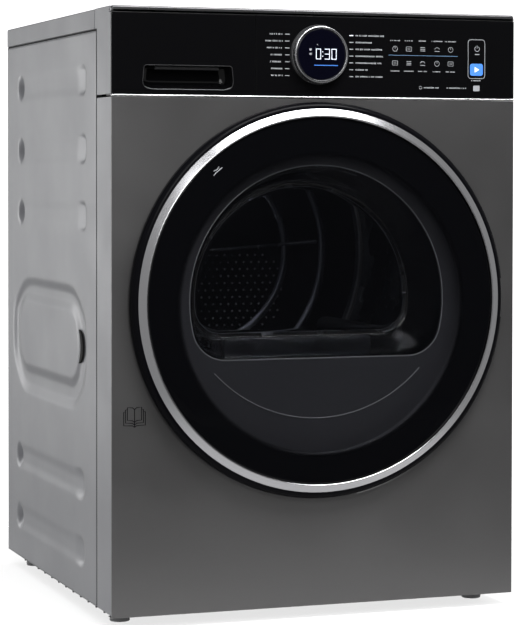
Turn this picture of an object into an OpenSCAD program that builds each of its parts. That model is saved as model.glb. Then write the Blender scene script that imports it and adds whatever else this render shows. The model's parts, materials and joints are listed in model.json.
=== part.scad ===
// Front-loading heat-pump tumble dryer, free standing, 60 cm class.
// Millimetres. +Z is up and the door faces -Y. The origin is on the floor, in the middle of the
// whole machine's footprint. "Depth" below is always the distance behind the front panel's face.

/* [Cabinet] */
// Width over the side panels
cabinet_w = 595; // [592:1:600]
// Height from the floor to the top of the worktop
cabinet_h = 845; // [843:1:855]
// Depth from the front panel's face to the back edge of the worktop
cabinet_d = 616; // [614:1:640]
// Thickness of the sheet steel
sheet = 1.2; // [0.8:0.1:1.5]
// Height of the front panel's lower edge above the floor
front_bottom = 17; // [15:1:20]
// Height of the lower edge of the control panel
panel_bottom = 725.7; // [725:0.1:727]
// Height of the trim bar on the front edge of the worktop
top_trim_h = 8; // [6:1:10]
// Height of the worktop's edge band
top_band_h = 28.3; // [27:0.1:29]
// Depth of the side strip that belongs to the front frame
pillar_d = 75; // [60:1:80]

/* [Door] */
// Height of the door's centre
door_z = 443; // [440:1:445]
// Radius of the door's outer rim
door_r = 275; // [272:1:276]
// How far the door stands out of the front panel
door_proud = 24; // [23:1:26]
// Gap between the back of the door and the front panel
door_gap = 2; // [2:0.5:3]
// Radius of the hole in the front panel
mouth_r = 222; // [220:1:224]
// Largest radius of the D-shaped inner bowl
bowl_r = 190; // [185:1:192]
// Depth that the bowl reaches into the machine
bowl_depth = 77; // [60:1:78]
// Distance of the hinge axis from the middle of the machine
hinge_x = 266; // [265:0.5:267]

/* [Drum] */
// Height of the drum's axis
drum_z = 492; // [490:1:493]
// Outside radius of the drum
drum_r = 283; // [280:1:283]
// Depth of the drum's front wall
drum_front = 107; // [106:1:112]
// Depth of the drum's open back edge
drum_back = 556; // [540:1:556]
// Radius of a support roller
roller_r = 18; // [14:1:20]
// Radius of the motor's belt pulley
pulley_r = 9.5; // [9:0.5:12]

/* [Controls and water container] */
// Height of the knob's centre
knob_z = 783.5; // [780:0.5:786]
// Radius of the turning ring
knob_r = 40; // [38:0.5:42]
// How far the knob stands out
knob_proud = 11.5; // [10:0.5:14]
// Right edge of the water container's front
drawer_right = -92.9; // [-95:0.1:-90]
// Length of the water container
tank_len = 470; // [400:1:480]

/* [Feet] */
// Distance of each foot from the middle of the machine
foot_x = 266; // [255:1:266]
// Depth of the front feet
foot_front = 72; // [60:1:90]
// Depth of the rear feet
foot_back = 560; // [540:1:565]
// Radius of a foot's pad
foot_r = 14; // [12:1:16]

/* [Hidden] */
$fn = 96;

front_y = door_proud - (cabinet_d + door_proud) / 2;
half_w = cabinet_w / 2;
inner_w = half_w - sheet;
band_z = cabinet_h - top_band_h;
trim_z = cabinet_h - top_trim_h;
run_gap = 0.3;
shaft_gap = 0.05;

// Worktop and back
top_back = cabinet_d;
deck_back = 85;
side_back = cabinet_d - 4;
back_sheet_d = cabinet_d - 12;
base_top = 60;
base_bottom = 14;
base_half_w = 288;
base_front = 22;
base_back = cabinet_d - 16;

// Door
rim_round = 9;
rim_top = 18;
chrome_in_r = 254.2;
glass_r = 253.8;
glass_t = 3;
plate_r = 243.8;
hinge_d = -12;
hinge_half_h = 25;
pin_r = 2.5;
knuckle_r = 4.8;
hook_x = -251;

// Air mouth and bulkheads
throat_r = 178;
shield_plate_d = 88;
shield_back = 99;
lip_r = 240;
drum_t = 1.2;
rear_plate_d = 558;

// Fluff filter
filter_half_w = 111;
filter_front = 83;
filter_back = 97;
filter_bottom = 235;
filter_top = 380;
filter_wall = 1.5;

// Rollers
roller_angle = 35;
roller_w = 14;
axle_r = 4;
roller_dist = drum_r + roller_r + run_gap;
roller_x = roller_dist * sin(roller_angle);
roller_z = drum_z - roller_dist * cos(roller_angle);
roller_front_d = 113;
roller_back_d = 528;

// Drive
motor_x = 130;
motor_z = 118;
belt_d = 300;
belt_w = 12;
belt_t = 3;
shaft_r = 6;

// Water container
tank_left = -284;
tank_right = -108;
tank_bottom = 763.5;
tank_top = 813;
tank_front = 30;
tank_wall = 2;

// Compressor
comp_x = 180;
comp_d = 170;
comp_r = 55;

// Drain outlet and mains gland, low on the back
drain_x = -230;
mains_x = 230;
outlet_z = 40;

// Cooling fan, on the right
fan_d = 302;
fan_z = 95;
fan_r = 38;
fan_x = 262;

// A box given by its x range, its depth range and its z range
module slab(x, d, z)
    translate([x[0], front_y + d[0], z[0]]) cube([x[1] - x[0], d[1] - d[0], z[1] - z[0]]);

// A round bar along the depth
module bar_y(x, z, d, r)
    translate([x, front_y + d[1], z]) rotate([90, 0, 0]) cylinder(h = d[1] - d[0], r = r);

// A tube along the depth
module ring_y(x, z, d, r_out, r_in)
    difference() {
        bar_y(x, z, d, r_out);
        bar_y(x, z, [d[0] - 1, d[1] + 1], r_in);
    }

// A turned shape about a depth axis; its outline holds [radius, distance in front of the panel]
module turned(x, z)
    translate([x, front_y, z]) rotate([90, 0, 0]) rotate_extrude() children();

// A flat outline in x and z, extruded over a depth range
module plate_y(d)
    translate([0, front_y + d[1], 0]) rotate([90, 0, 0])
        linear_extrude(d[1] - d[0]) children();

// A flat outline in depth and z, extruded from x to x + t
module plate_x(x, t)
    translate([x, front_y, 0]) rotate([90, 0, 90]) linear_extrude(t) children();

// A straight tube or rod between two points
module rod(a, b, r) {
    v = b - a;
    translate(a) rotate([0, acos(v[2] / norm(v)), atan2(v[1], v[0])])
        cylinder(h = norm(v), r = r, $fn = 24);
}

// A bent tube: rods through the points, with a ball at each bend
module tube_path(points, r) {
    for (i = [0 : len(points) - 2]) rod(points[i], points[i + 1], r);
    for (i = [1 : len(points) - 2]) translate(points[i]) sphere(r = 1.06 * r, $fn = 24);
}

// A point given by x, depth and z
function at(x, d, z) = [x, front_y + d, z];

// Points of an arc about a centre
function arc(cx, cy, r, from, to, steps = 6) =
    [for (i = [0 : steps]) let (a = from + (to - from) * i / steps) [cx + r * cos(a), cy + r * sin(a)]];

// ---------------------------------------------------------------- cabinet

// Moulded plastic floor: tray, ribbed rim, foot bosses and the fan's ring
module base_tray() {
    boss_top = 50;
    color("#1c1c1e") difference() {
        union() {
            difference() {
                slab([-base_half_w, base_half_w], [base_front, base_back], [base_bottom, base_top]);
                slab([3 - base_half_w, base_half_w - 3], [base_front + 3, base_back - 3],
                     [base_bottom + 4, base_top + 1]);
            }
            for (x = [-foot_x, foot_x], d = [foot_front, foot_back])
                translate(at(x, d, base_bottom)) cylinder(h = boss_top - base_bottom, r = 12);
            for (s = [-1, 1], i = [0 : 11])
                slab(s < 0 ? [-base_half_w - 4, -base_half_w] : [base_half_w, base_half_w + 4],
                     [60 + 42 * i, 63 + 42 * i], [base_bottom, 40]);
            translate(at(fan_x - 4, fan_d, fan_z)) rotate([0, 90, 0]) cylinder(h = 20, r = fan_r + 4);
            slab([fan_x - 4, fan_x + 16], [fan_d - 30, fan_d + 30], [base_bottom, fan_z - 20]);
        }
        for (x = [-foot_x, foot_x], d = [foot_front, foot_back])
            translate(at(x, d, base_bottom - 1)) cylinder(h = boss_top, r = 5 + shaft_gap);
        translate(at(fan_x, fan_d, fan_z)) rotate([0, 90, 0]) cylinder(h = 30, r = fan_r + 1.5);
        translate(at(fan_x - 9, fan_d, fan_z)) rotate([0, 90, 0]) cylinder(h = 20, r = 3 + shaft_gap);
        bar_y(drain_x, outlet_z, [base_back - 10, base_back + 1], 7.5);
        bar_y(mains_x, outlet_z, [base_back - 10, base_back + 1], 5);
    }
}

// Rounded slot outline in depth and z
module slot_outline(d, z, grow = 0) {
    r = (z[1] - z[0]) / 2 + grow;
    mid = (z[0] + z[1]) / 2;
    translate([d[0] + r - grow, mid]) circle(r = r);
    translate([d[1] - r + grow, mid]) circle(r = r);
    translate([d[0] + r - grow, mid - r]) square([d[1] - d[0] - 2 * r + 2 * grow, 2 * r]);
}

// Eight-sided pressed field in the middle of a side panel
module field_outline()
    polygon([[195, 462], [505, 462], [577, 415], [577, 330], [515, 278], [187, 278], [129, 330], [129, 415]]);

// Crescent-shaped vent in the pressed field
module vent_outline() difference() {
    translate([176, 375]) circle(r = 28);
    translate([186, 375]) circle(r = 27);
    translate([176, 340]) square([40, 70]);
}

// Left side panel; five grooves and the middle field are pressed inwards
module side_sheet() {
    groove_depth = 6;
    press = 1;
    grooves = [[[128, 541], [727, 771]], [[128, 541], [631, 675]], [[128, 541], [536, 580]],
               [[140, 552], [157, 201]], [[140, 552], [62, 106]]];
    difference() {
        union() {
            slab([-half_w, -inner_w], [pillar_d + 0.5, side_back], [20, band_z - 0.3]);
            slab([-inner_w, 14 - inner_w], [side_back - sheet, side_back], [20, band_z - 0.3]);
            slab([-inner_w, 11 - inner_w], [pillar_d + 0.5, pillar_d + 0.5 + sheet], [base_top + 2, band_z - 0.3]);
            for (g = grooves) plate_x(-half_w, groove_depth + sheet) slot_outline(g[0], g[1]);
            plate_x(-inner_w, press) field_outline();
        }
        for (g = grooves) plate_x(-half_w - 1, groove_depth + 1) slot_outline(g[0], g[1], -sheet);
        plate_x(-half_w - 1, press + 1) field_outline();
        plate_x(-half_w - 1, 10) vent_outline();
    }
}
module side_panel_left() color("#9a9ba0") side_sheet();
module side_panel_right() color("#9a9ba0") mirror([1, 0, 0]) side_sheet();

// Left front pillar: the side strip with a fold behind the front panel
module pillar_sheet() {
    slab([-half_w, -inner_w], [3, pillar_d], [front_bottom + 3, panel_bottom - 3.5]);
    slab([-inner_w, 18 - inner_w], [3, 3 + sheet], [front_bottom + 3, panel_bottom - 3.5]);
}
module front_pillar_left() color("#9a9ba0") pillar_sheet();
module front_pillar_right() color("#9a9ba0") mirror([1, 0, 0]) pillar_sheet();

// Front panel with the round mouth, the lock's slot and folded edges
module front_panel() {
    top = panel_bottom - 3.2;
    color("#4b4c50") difference() {
        union() {
            slab([-half_w, half_w], [0, sheet], [front_bottom, top]);
            slab([-half_w, half_w], [0, 18], [front_bottom, front_bottom + sheet]);
            for (x = [-half_w, half_w - sheet]) slab([x, x + sheet], [0, 2.7], [front_bottom, top]);
        }
        bar_y(0, door_z, [-1, 5], mouth_r);
        slab([hook_x - 8, hook_x + 8], [-1, 5], [door_z - 13, door_z + 13]);
    }
}

// Back sheet with the air outlet behind the drum
module back_panel()
    color("#a7a8ab") difference() {
        slab([-inner_w + 1, inner_w - 1], [back_sheet_d, back_sheet_d + sheet], [base_top + 1, band_z - 2]);
        bar_y(0, drum_z, [back_sheet_d - 1, back_sheet_d + 5], 205);
    }

// Round stamped cover of the air duct on the back
module rear_cover()
    color("#a7a8ab") turned(0, drum_z)
        polygon([[0, -cabinet_d], [196, -cabinet_d], [206, -cabinet_d + 8], [230, -cabinet_d + 8],
                 [230, -back_sheet_d - sheet], [204, -back_sheet_d - sheet],
                 [194, -cabinet_d + sheet], [0, -cabinet_d + sheet]]);

// Worktop with a deep edge band; it starts behind the control panel's housing
module top_cover()
    color("#9b9ca1") difference() {
        slab([-half_w, half_w], [deck_back + run_gap, top_back], [band_z, cabinet_h]);
        slab([4 - half_w, half_w - 4], [deck_back + 4, top_back - 4], [band_z - 1, cabinet_h - 10]);
    }

// Rounded metal bar on the front edge of the worktop
module top_trim() {
    r = 6;
    back = top_trim_h + 3.7;
    color("#55565a") plate_x(-half_w, cabinet_w)
        polygon(concat(arc(r, cabinet_h - r, r, 180, 90), [[back, cabinet_h], [back, trim_z], [0, trim_z]]));
}

// Plastic carrier of the control panel, with the deck behind the trim bar and the cheeks that show
// at the sides
module fascia_housing() {
    top = trim_z - 0.3;
    wall = 2;
    plate_d = 4.2;
    deck_front = top_trim_h + 4;
    color("#9a9ba0") union() {
        for (s = [-1, 1]) {
            x = s < 0 ? [-half_w, wall - half_w] : [half_w - wall, half_w];
            slab(x, [plate_d, pillar_d], [panel_bottom, top]);
            slab(x, [deck_front, deck_back], [band_z + 0.3, cabinet_h]);
        }
        slab([-half_w, half_w], [plate_d, deck_back], [top - wall, top]);
        slab([-half_w, half_w], [deck_front, deck_back], [cabinet_h - 3, cabinet_h]);
        slab([-half_w, half_w], [deck_front, deck_front + wall], [top - wall, cabinet_h]);
        slab([-half_w, half_w], [plate_d + 1, 30], [panel_bottom - 2, panel_bottom]);
        slab([drawer_right + 0.5, half_w], [plate_d, plate_d + 2.5], [panel_bottom, top]);
        slab([-half_w, half_w], [pillar_d - 4, pillar_d - 2], [band_z - 2, top]);
    }
}

// Gloss front of the control panel, to the right of the water container
module fascia_glass()
    color("#0b0c0e") slab([drawer_right + 0.6, half_w], [0, 4], [panel_bottom + 0.3, trim_z - 0.3]);

// Bright strip under the control panel
module silver_trim()
    color("#c9cacd") slab([-half_w, half_w], [-1, 5], [panel_bottom - 3, panel_bottom - 0.2]);

// Circuit board with its display and key blocks
module control_board()
    color("#1e5a3a") union() {
        slab([-80, 285], [12, 14], [735, 825]);
        slab([-60, -10], [7, 12], [745, 815]);
        slab([40, 270], [7, 12], [745, 815]);
        slab([-10, 40], [14, 24], [760, 805]);
    }

// Fixed middle of the knob, which carries the display
module knob_display()
    color("#101114") bar_y(0, knob_z, [-knob_proud + 0.8, 0], knob_r - 4);

// Turning ring around the display
module knob_ring() {
    bore = knob_r - 4 + shaft_gap;
    color("#c6c7ca") turned(0, knob_z)
        polygon([[bore, 0.3], [knob_r, 0.3], [knob_r, 2], [knob_r - 0.6, knob_proud - 2],
                 [knob_r - 1.2, knob_proud - 0.4], [knob_r - 2.4, knob_proud], [bore, knob_proud - 0.8]]);
}

// ---------------------------------------------------------------- bulkheads and drum

// Space of the filter housing, which the bulkhead and the funnel leave free
module filter_space()
    slab([-filter_half_w - 3, filter_half_w + 3], [filter_front - 3, shield_back + 1],
         [filter_bottom - 3, door_z]);

// Front bulkhead: plate, drum flange and roller axles
module front_shield()
    color("#2b2c30") union() {
        difference() {
            slab([-285, 285], [shield_plate_d, shield_plate_d + 3], [225, 716]);
            bar_y(0, door_z, [shield_plate_d - 1, shield_plate_d + 5], throat_r + 3);
            filter_space();
        }
        difference() {
            ring_y(0, drum_z, [shield_plate_d + 1, shield_back + 6], lip_r - 5, lip_r - 9);
            filter_space();
        }
        for (s = [-1, 1])
            bar_y(s * roller_x, roller_z, [shield_plate_d, roller_front_d + roller_w + 2], axle_r);
    }

// Funnel from the front panel's mouth to the drum
module mouth_funnel()
    color("#2b2c30") difference() {
        turned(0, door_z)
            polygon([[mouth_r - 4, -sheet - 1], [mouth_r + 8, -sheet - 1], [mouth_r + 8, -4], [mouth_r - 2, -4],
                     [throat_r + 3, -78], [throat_r + 3, -shield_back], [throat_r, -shield_back],
                     [throat_r, -78]]);
        filter_space();
    }

// Pocket in the bottom of the funnel that holds the fluff filter; open at the top
module filter_housing()
    color("#2b2c30") difference() {
        slab([-filter_half_w - 3, filter_half_w + 3], [filter_front - 3, shield_back - 0.1],
             [filter_bottom - 3, 340]);
        bar_y(0, door_z, [filter_front - 5, shield_back + 5], throat_r);
        slab([-filter_half_w - 0.5, filter_half_w + 0.5], [filter_front - 0.5, filter_back + 0.5],
             [filter_bottom - 0.5, door_z]);
    }

// Rear bulkhead: plate with the air inlet's holes, and roller axles
module rear_shield() {
    hole_r = 6;
    color("#8f9094") difference() {
        union() {
            slab([-285, 285], [rear_plate_d, rear_plate_d + 2], [225, 760]);
            for (s = [-1, 1])
                bar_y(s * roller_x, roller_z, [roller_back_d - 2, rear_plate_d], axle_r);
        }
        for (n = [1 : 3], k = [0 : 6 * n - 1])
            bar_y(60 + 26 * n * cos(60 * k / n), 430 + 26 * n * sin(60 * k / n),
                  [rear_plate_d - 1, rear_plate_d + 5], hole_r);
    }
}

// Flange ring on the rear bulkhead that carries the drum's rear felt
module rear_flange()
    color("#8f9094") ring_y(0, drum_z, [drum_back - 12, rear_plate_d], 277.2, 274);

// Felt rings that seal the drum against both bulkheads
module drum_felts() {
    color("#d8d4c8") ring_y(0, drum_z, [shield_back, shield_back + 6], lip_r - run_gap, lip_r - 5);
    color("#d8d4c8") ring_y(0, drum_z, [drum_back - 12, drum_back - 2], drum_r - drum_t - run_gap, 277.2);
}

// Rolled steel wall of the drum
module drum_shell()
    color("#b9bbbf") ring_y(0, drum_z, [drum_front + drum_t, drum_back], drum_r, drum_r - drum_t);

// Flat front wall of the drum, with a lip round its mouth
module drum_front_wall()
    color("#b9bbbf") turned(0, drum_z)
        polygon([[lip_r, 7 - drum_front], [lip_r + drum_t, 7 - drum_front], [lip_r + drum_t, -drum_front],
                 [drum_r, -drum_front], [drum_r, -drum_front - drum_t], [lip_r, -drum_front - drum_t]]);

// Three lifting ribs inside the drum
module drum_lifters()
    color("#77787c") for (a = [0, 120, 240])
        translate([0, 0, drum_z]) rotate([0, a, 0])
            plate_y([drum_front + 25, drum_back - 22])
                polygon(concat([[28, 280.2], [-28, 280.2], [-26, 274]],
                               arc(0, 242, 14, 180, 360, 8), [[26, 274]]));

// A support roller on its axle
module roller(side, d)
    color("#3a3b3d") ring_y(side * roller_x, roller_z, [d, d + roller_w], roller_r, axle_r + shaft_gap);
module roller_front_left() roller(-1, roller_front_d);
module roller_front_right() roller(1, roller_front_d);
module roller_back_left() roller(-1, roller_back_d);
module roller_back_right() roller(1, roller_back_d);

// ---------------------------------------------------------------- door

// Pocket in the back of the door for the hinge
module hinge_pocket(x_from)
    slab([x_from, door_r + 5], [-rim_top - 0.2, 5], [door_z - hinge_half_h - 1.5, door_z + hinge_half_h + 1.5]);

// Black outer rim, with a round front edge and a chamfered back edge
module door_rim()
    color("#0e0f11") difference() {
        turned(0, door_z)
            polygon(concat([[plate_r + 0.2, door_gap], [hinge_x, door_gap], [door_r, door_gap + 3]],
                           arc(door_r - rim_round, rim_top - rim_round, rim_round, 0, 90),
                           [[250, rim_top], [250, 12], [plate_r + 0.2, 12]]));
        hinge_pocket(220);
        translate([hinge_x, front_y + hinge_d, door_z - 38]) cylinder(h = 76, r = pin_r);
    }

// Bright cone-shaped ring on the rim
module door_chrome_ring()
    color("#c8c9cc") turned(0, door_z)
        polygon([[door_r - 9.5, rim_top], [door_r - 10, rim_top + 0.8], [chrome_in_r + 2.3, door_proud - 0.2],
                 [chrome_in_r + 0.8, door_proud], [chrome_in_r, door_proud - 0.6], [chrome_in_r, rim_top]]);

// Outer pane
module door_glass()
    color("#0c0d10") bar_y(0, door_z, [-rim_top - glass_t, -rim_top], glass_r);

// D outline of the bowl: a circle with a flat bottom and round lower corners
module bowl_outline(r, drop, corner) {
    reach = sqrt(pow(r - corner, 2) - pow(drop - corner, 2));
    hull() {
        intersection() {
            circle(r = r, $fn = 72);
            translate([-r, -(drop - corner)]) square([2 * r, 2 * r]);
        }
        for (s = [-1, 1]) translate([s * reach, corner - drop]) circle(r = corner, $fn = 32);
    }
}

// The bowl's tapering body, grown by "grow", shortened by "short" and pulled forward by "front"
module bowl_body(grow, short, front)
    hull() {
        plate_y([1 - front, 3]) translate([0, door_z]) bowl_outline(bowl_r + grow, 83 + grow, 50 + grow);
        plate_y([bowl_depth - 2 - short, bowl_depth - short])
            translate([0, door_z]) bowl_outline(163 + grow, 54 + grow, 40 + grow);
    }

// Clear D-shaped bowl that reaches into the drum's mouth
module door_bowl()
    color("#6c7077", 0.5) difference() {
        bowl_body(0, 0, 0);
        bowl_body(-4, 4, 1);
    }

// Inner plate of the door: an outer ring, a step into the mouth and the D-shaped hole
module door_inner_plate()
    color("#232427") difference() {
        turned(0, door_z)
            polygon([[150, 0], [mouth_r - 10, 0], [mouth_r - 7, 5], [plate_r, 5], [plate_r, door_gap],
                     [mouth_r - 4, door_gap], [mouth_r - 7, -3], [150, -3]]);
        plate_y([-1, 0.99]) translate([0, door_z]) bowl_outline(bowl_r - 4, 79, 46);
        plate_y([0.99, 4]) translate([0, door_z]) bowl_outline(bowl_r + 0.2, 83.2, 50.2);
        hinge_pocket(220);
    }

// Rubber ring on the back of the inner plate
module door_seal()
    color("#17181a") difference() {
        turned(0, door_z)
            polygon([[226, run_gap + 0.1], [238, run_gap + 0.1], [236, door_gap], [228, door_gap]]);
        hinge_pocket(220);
    }

// Hook that the lock catches
module latch_hook()
    color("#c0c1c4") difference() {
        slab([hook_x - 4, hook_x + 4], [-door_gap, 20], [door_z - 7, door_z + 7]);
        slab([hook_x - 5, hook_x + 1], [6, 12], [door_z - 8, door_z + 8]);
    }

// Pin on which the door turns
module hinge_pin()
    color("#b0b1b4") translate([hinge_x, front_y + hinge_d, door_z - 38]) cylinder(h = 76, r = pin_r);

// Hinge bracket on the front panel: leaf, arm and knuckle
module hinge_bracket()
    color("#2a2b2e") difference() {
        union() {
            slab([229, hinge_x - 2], [-1.6, 0], [door_z - hinge_half_h, door_z + hinge_half_h]);
            translate([0, front_y, door_z - hinge_half_h]) linear_extrude(2 * hinge_half_h)
                polygon([[hinge_x - 26, -1.6], [hinge_x - 3, hinge_d - 3], [hinge_x, hinge_d],
                         [hinge_x - 2, hinge_d + 3.5], [hinge_x - 10, -1.6]]);
            translate([hinge_x, front_y + hinge_d, door_z - hinge_half_h])
                cylinder(h = 2 * hinge_half_h, r = knuckle_r);
        }
        translate([hinge_x, front_y + hinge_d, door_z - 40]) cylinder(h = 80, r = pin_r + shaft_gap);
    }

// Lock behind the front panel, with the hook's pocket
module door_lock()
    color("#202124") difference() {
        slab([hook_x - 11, hook_x + 11], [sheet, 30], [door_z - 18, door_z + 18]);
        slab([hook_x - 8, hook_x + 8], [0, 25], [door_z - 12, door_z + 12]);
    }

// ---------------------------------------------------------------- drive

module motor_stator()
    color("#7d5a34") union() {
        ring_y(motor_x, motor_z, [330, 430], 58, 36);
        ring_y(motor_x, motor_z, [322, 330], 58, 8);
        ring_y(motor_x, motor_z, [430, 438], 58, 8);
        slab([motor_x - 45, motor_x + 45], [345, 415], [18, 68]);
    }

// Rotor, shaft and belt pulley
module motor_rotor()
    color("#a9aaad") union() {
        bar_y(motor_x, motor_z, [belt_d - 6, 545], shaft_r);
        bar_y(motor_x, motor_z, [335, 425], 35.4);
        bar_y(motor_x, motor_z, [belt_d - 2, belt_d + belt_w + 2], pulley_r);
        bar_y(motor_x, motor_z, [belt_d - 5, belt_d - 2], pulley_r + 4);
    }

// Poly-V belt round the drum and the pulley
module belt_outline(grow)
    hull() {
        translate([0, drum_z]) circle(r = drum_r + run_gap + grow, $fn = 180);
        translate([motor_x, motor_z]) circle(r = pulley_r + run_gap + grow, $fn = 32);
    }
module drive_belt()
    color("#151515") plate_y([belt_d, belt_d + belt_w]) difference() {
        belt_outline(belt_t);
        belt_outline(0);
    }

// Blower casing with its inlet
module blower_housing()
    color("#2d2e31") difference() {
        union() {
            bar_y(motor_x, motor_z, [480, 552], 92);
            slab([motor_x - 60, motor_x + 60], [480, 552], [18, 60]);
        }
        bar_y(motor_x, motor_z, [483, 549], 89);
        bar_y(motor_x, motor_z, [470, 490], 55);
    }

// Blower wheel: hub, back disc and blades
module blower_wheel()
    color("#3b3c40") difference() {
        union() {
            bar_y(motor_x, motor_z, [540, 543], 80);
            bar_y(motor_x, motor_z, [520, 543], 16);
            for (k = [0 : 17])
                translate([motor_x, 0, motor_z]) rotate([0, 20 * k, 0])
                    slab([60, 80], [495, 541], [-1, 1]);
        }
        bar_y(motor_x, motor_z, [500, 560], shaft_r);
    }

// ---------------------------------------------------------------- heat pump

// Compressor on its foot plate and three mounts
module compressor()
    color("#1b1c1e") translate(at(comp_x, comp_d, 0)) union() {
        for (a = [30, 150, 270]) translate([60 * cos(a), 60 * sin(a), 18]) cylinder(h = 14.5, r = 9);
        translate([0, 0, 32]) cylinder(h = 3, r = 70);
        translate([0, 0, 34]) cylinder(h = 150, r = comp_r);
        translate([0, 0, 184]) cylinder(h = 12, r1 = comp_r, r2 = 35);
        translate([0, 0, 195]) cylinder(h = 10, r = 10);
    }

// Fin block with its tubes
module fin_block(d) {
    x = [-255, -70];
    z = [30, 172];
    fins = 9;
    pitch = (x[1] - x[0]) / fins;
    for (i = [0 : fins]) slab([x[0] + pitch * i, x[0] + pitch * i + 1.5], d, z);
    for (row = [0 : 2], col = [0 : 1])
        translate(at(x[0] - 8, d[0] + 30 + 50 * col, z[0] + 30 + 40 * row))
            rotate([0, 90, 0]) cylinder(h = x[1] - x[0] + 18, r = 4);
}

// Evaporator and condenser, one behind the other in the air duct
module heat_exchangers()
    color("#b4b6b9") union() {
        fin_block([140, 245]);
        fin_block([270, 400]);
    }

// Copper pipes between the compressor and the heat exchangers
module refrigerant_pipes() {
    r = 4;
    color("#b87333") union() {
        tube_path([at(comp_x - comp_r, comp_d, 120), at(20, comp_d, 120), at(20, 190, 120), at(-58, 190, 120)], r);
        tube_path([at(comp_x, comp_d + comp_r, 150), at(comp_x, 262, 150), at(0, 262, 150), at(0, 300, 120),
                   at(-58, 300, 120)], r);
        tube_path([at(-58, 350, 60), at(-20, 350, 60), at(-20, 170, 60), at(-58, 170, 60)], r);
    }
}

// Pump for the condensed water, with the hose that rises to the water container
module condensate_pump()
    color("#2b2c2f") union() {
        translate(at(-20, 470, 0)) {
            translate([0, 0, 18]) cylinder(h = 22, r = 26);
            translate([0, 0, 40]) cylinder(h = 40, r = 18);
            translate([0, 20, 26]) rotate([-90, 0, 0]) cylinder(h = 21, r = 6);
        }
        tube_path([at(-20, 510.2, 26), at(-20, 582, 26), at(-20, 582, 80), at(-276, 582, 80),
                   at(-276, 582, 792), at(-276, 518.1, 792)], 6);
    }

// Outlet for a drain hose, low on the back
module drain_spigot()
    color("#2b2c2f") difference() {
        union() {
            bar_y(drain_x, outlet_z, [base_back, base_back + 15], 9.5);
            bar_y(drain_x, outlet_z, [base_back, base_back + 2], 15);
        }
        bar_y(drain_x, outlet_z, [base_back - 1, base_back + 20], 6.5);
    }

// Gland where a mains lead enters, low on the back
module mains_gland()
    color("#2b2c2f") difference() {
        union() {
            bar_y(mains_x, outlet_z, [base_back, base_back + 12], 9);
            bar_y(mains_x, outlet_z, [base_back, base_back + 3], 13);
        }
        bar_y(mains_x, outlet_z, [base_back - 1, base_back + 20], 4);
    }

// Axial fan that cools the compressor; it turns in the base's ring
module cooling_fan()
    color("#34353a") translate(at(fan_x + 4, fan_d, fan_z)) rotate([0, 90, 0]) union() {
        cylinder(h = 12, r = 14);
        translate([0, 0, -14]) cylinder(h = 15, r = 3);
        for (k = [0 : 6])
            rotate([0, 0, 360 * k / 7]) translate([12, 0, 6]) rotate([35, 0, 0])
                translate([0, -9, -1]) cube([fan_r - 12.5, 18, 2]);
    }

// ---------------------------------------------------------------- water container

// Front of the water container, with the finger recess
module drawer_front() {
    left = -255;
    right = -124;
    low = 733;
    high = 765.5;
    depth = 24;
    wall = 3;
    round_r = 12;
    color("#0b0c0e") difference() {
        union() {
            slab([-half_w, drawer_right], [0, 4], [panel_bottom + 0.5, trim_z - 0.5]);
            slab([left - wall, right + wall], [3, depth + wall], [low - wall, high + wall]);
            for (x = [tank_left, tank_right - 3]) slab([x, x + 3], [3, tank_front], [770, tank_top - 1]);
        }
        plate_y([-1, depth]) union() {
            translate([left + round_r, low + round_r]) circle(r = round_r);
            translate([right - round_r, low + round_r]) circle(r = round_r);
            translate([left + round_r, low]) square([right - left - 2 * round_r, round_r + 1]);
            translate([left, low + round_r]) square([right - left, high - low - round_r]);
        }
    }
}

// Hollow container with a filling hole on top at the back
module tank_body()
    color("#e4e6e8", 0.8) difference() {
        slab([tank_left, tank_right], [tank_front, tank_front + tank_len], [tank_bottom, tank_top]);
        slab([tank_left + tank_wall, tank_right - tank_wall],
             [tank_front + tank_wall, tank_front + tank_len - tank_wall],
             [tank_bottom + tank_wall, tank_top - tank_wall]);
        translate(at(-196, tank_front + tank_len - 40, tank_top - 5)) cylinder(h = 10, r = 16);
    }

// Tray that guides the container and catches spilt water
module tank_tray()
    color("#3d3f42") difference() {
        slab([tank_left - 4, tank_right + 3], [pillar_d + 4, 518], [tank_bottom - 2.5, tank_top - 3]);
        slab([tank_left - 2, tank_right + 1], [pillar_d, 516], [tank_bottom - 0.4, tank_top]);
    }

// ---------------------------------------------------------------- fluff filter

// Outer filter: a flat pocket that stands in the mouth's slot
module filter_outer()
    color("#55606b") difference() {
        slab([-filter_half_w, filter_half_w], [filter_front, filter_back], [filter_bottom, filter_top]);
        slab([-filter_half_w + filter_wall, filter_half_w - filter_wall],
             [filter_front + filter_wall, filter_back - filter_wall],
             [filter_bottom + filter_wall, filter_top + 1]);
    }

// Inner filter: a second pocket inside the first, with a raised rim
module filter_inner() {
    gap = filter_wall + 0.4;
    half = filter_half_w - gap;
    color("#6d7a86") difference() {
        slab([-half, half], [filter_front + gap, filter_back - gap], [filter_bottom + gap, filter_top + 3]);
        slab([-half + filter_wall, half - filter_wall],
             [filter_front + gap + filter_wall, filter_back - gap - filter_wall],
             [filter_bottom + gap + filter_wall, filter_top + 4]);
    }
}

// ---------------------------------------------------------------- feet

// Levelling foot: pad, hexagon and stud
module foot(x, d)
    color("#222325") translate(at(x, d, 0)) union() {
        cylinder(h = 7, r = foot_r);
        translate([0, 0, 6]) cylinder(h = base_bottom - 6.1, r = 9, $fn = 6);
        cylinder(h = 44, r = 5);
    }
module foot_front_left() foot(-foot_x, foot_front);
module foot_front_right() foot(foot_x, foot_front);
module foot_back_left() foot(-foot_x, foot_back);
module foot_back_right() foot(foot_x, foot_back);

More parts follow.
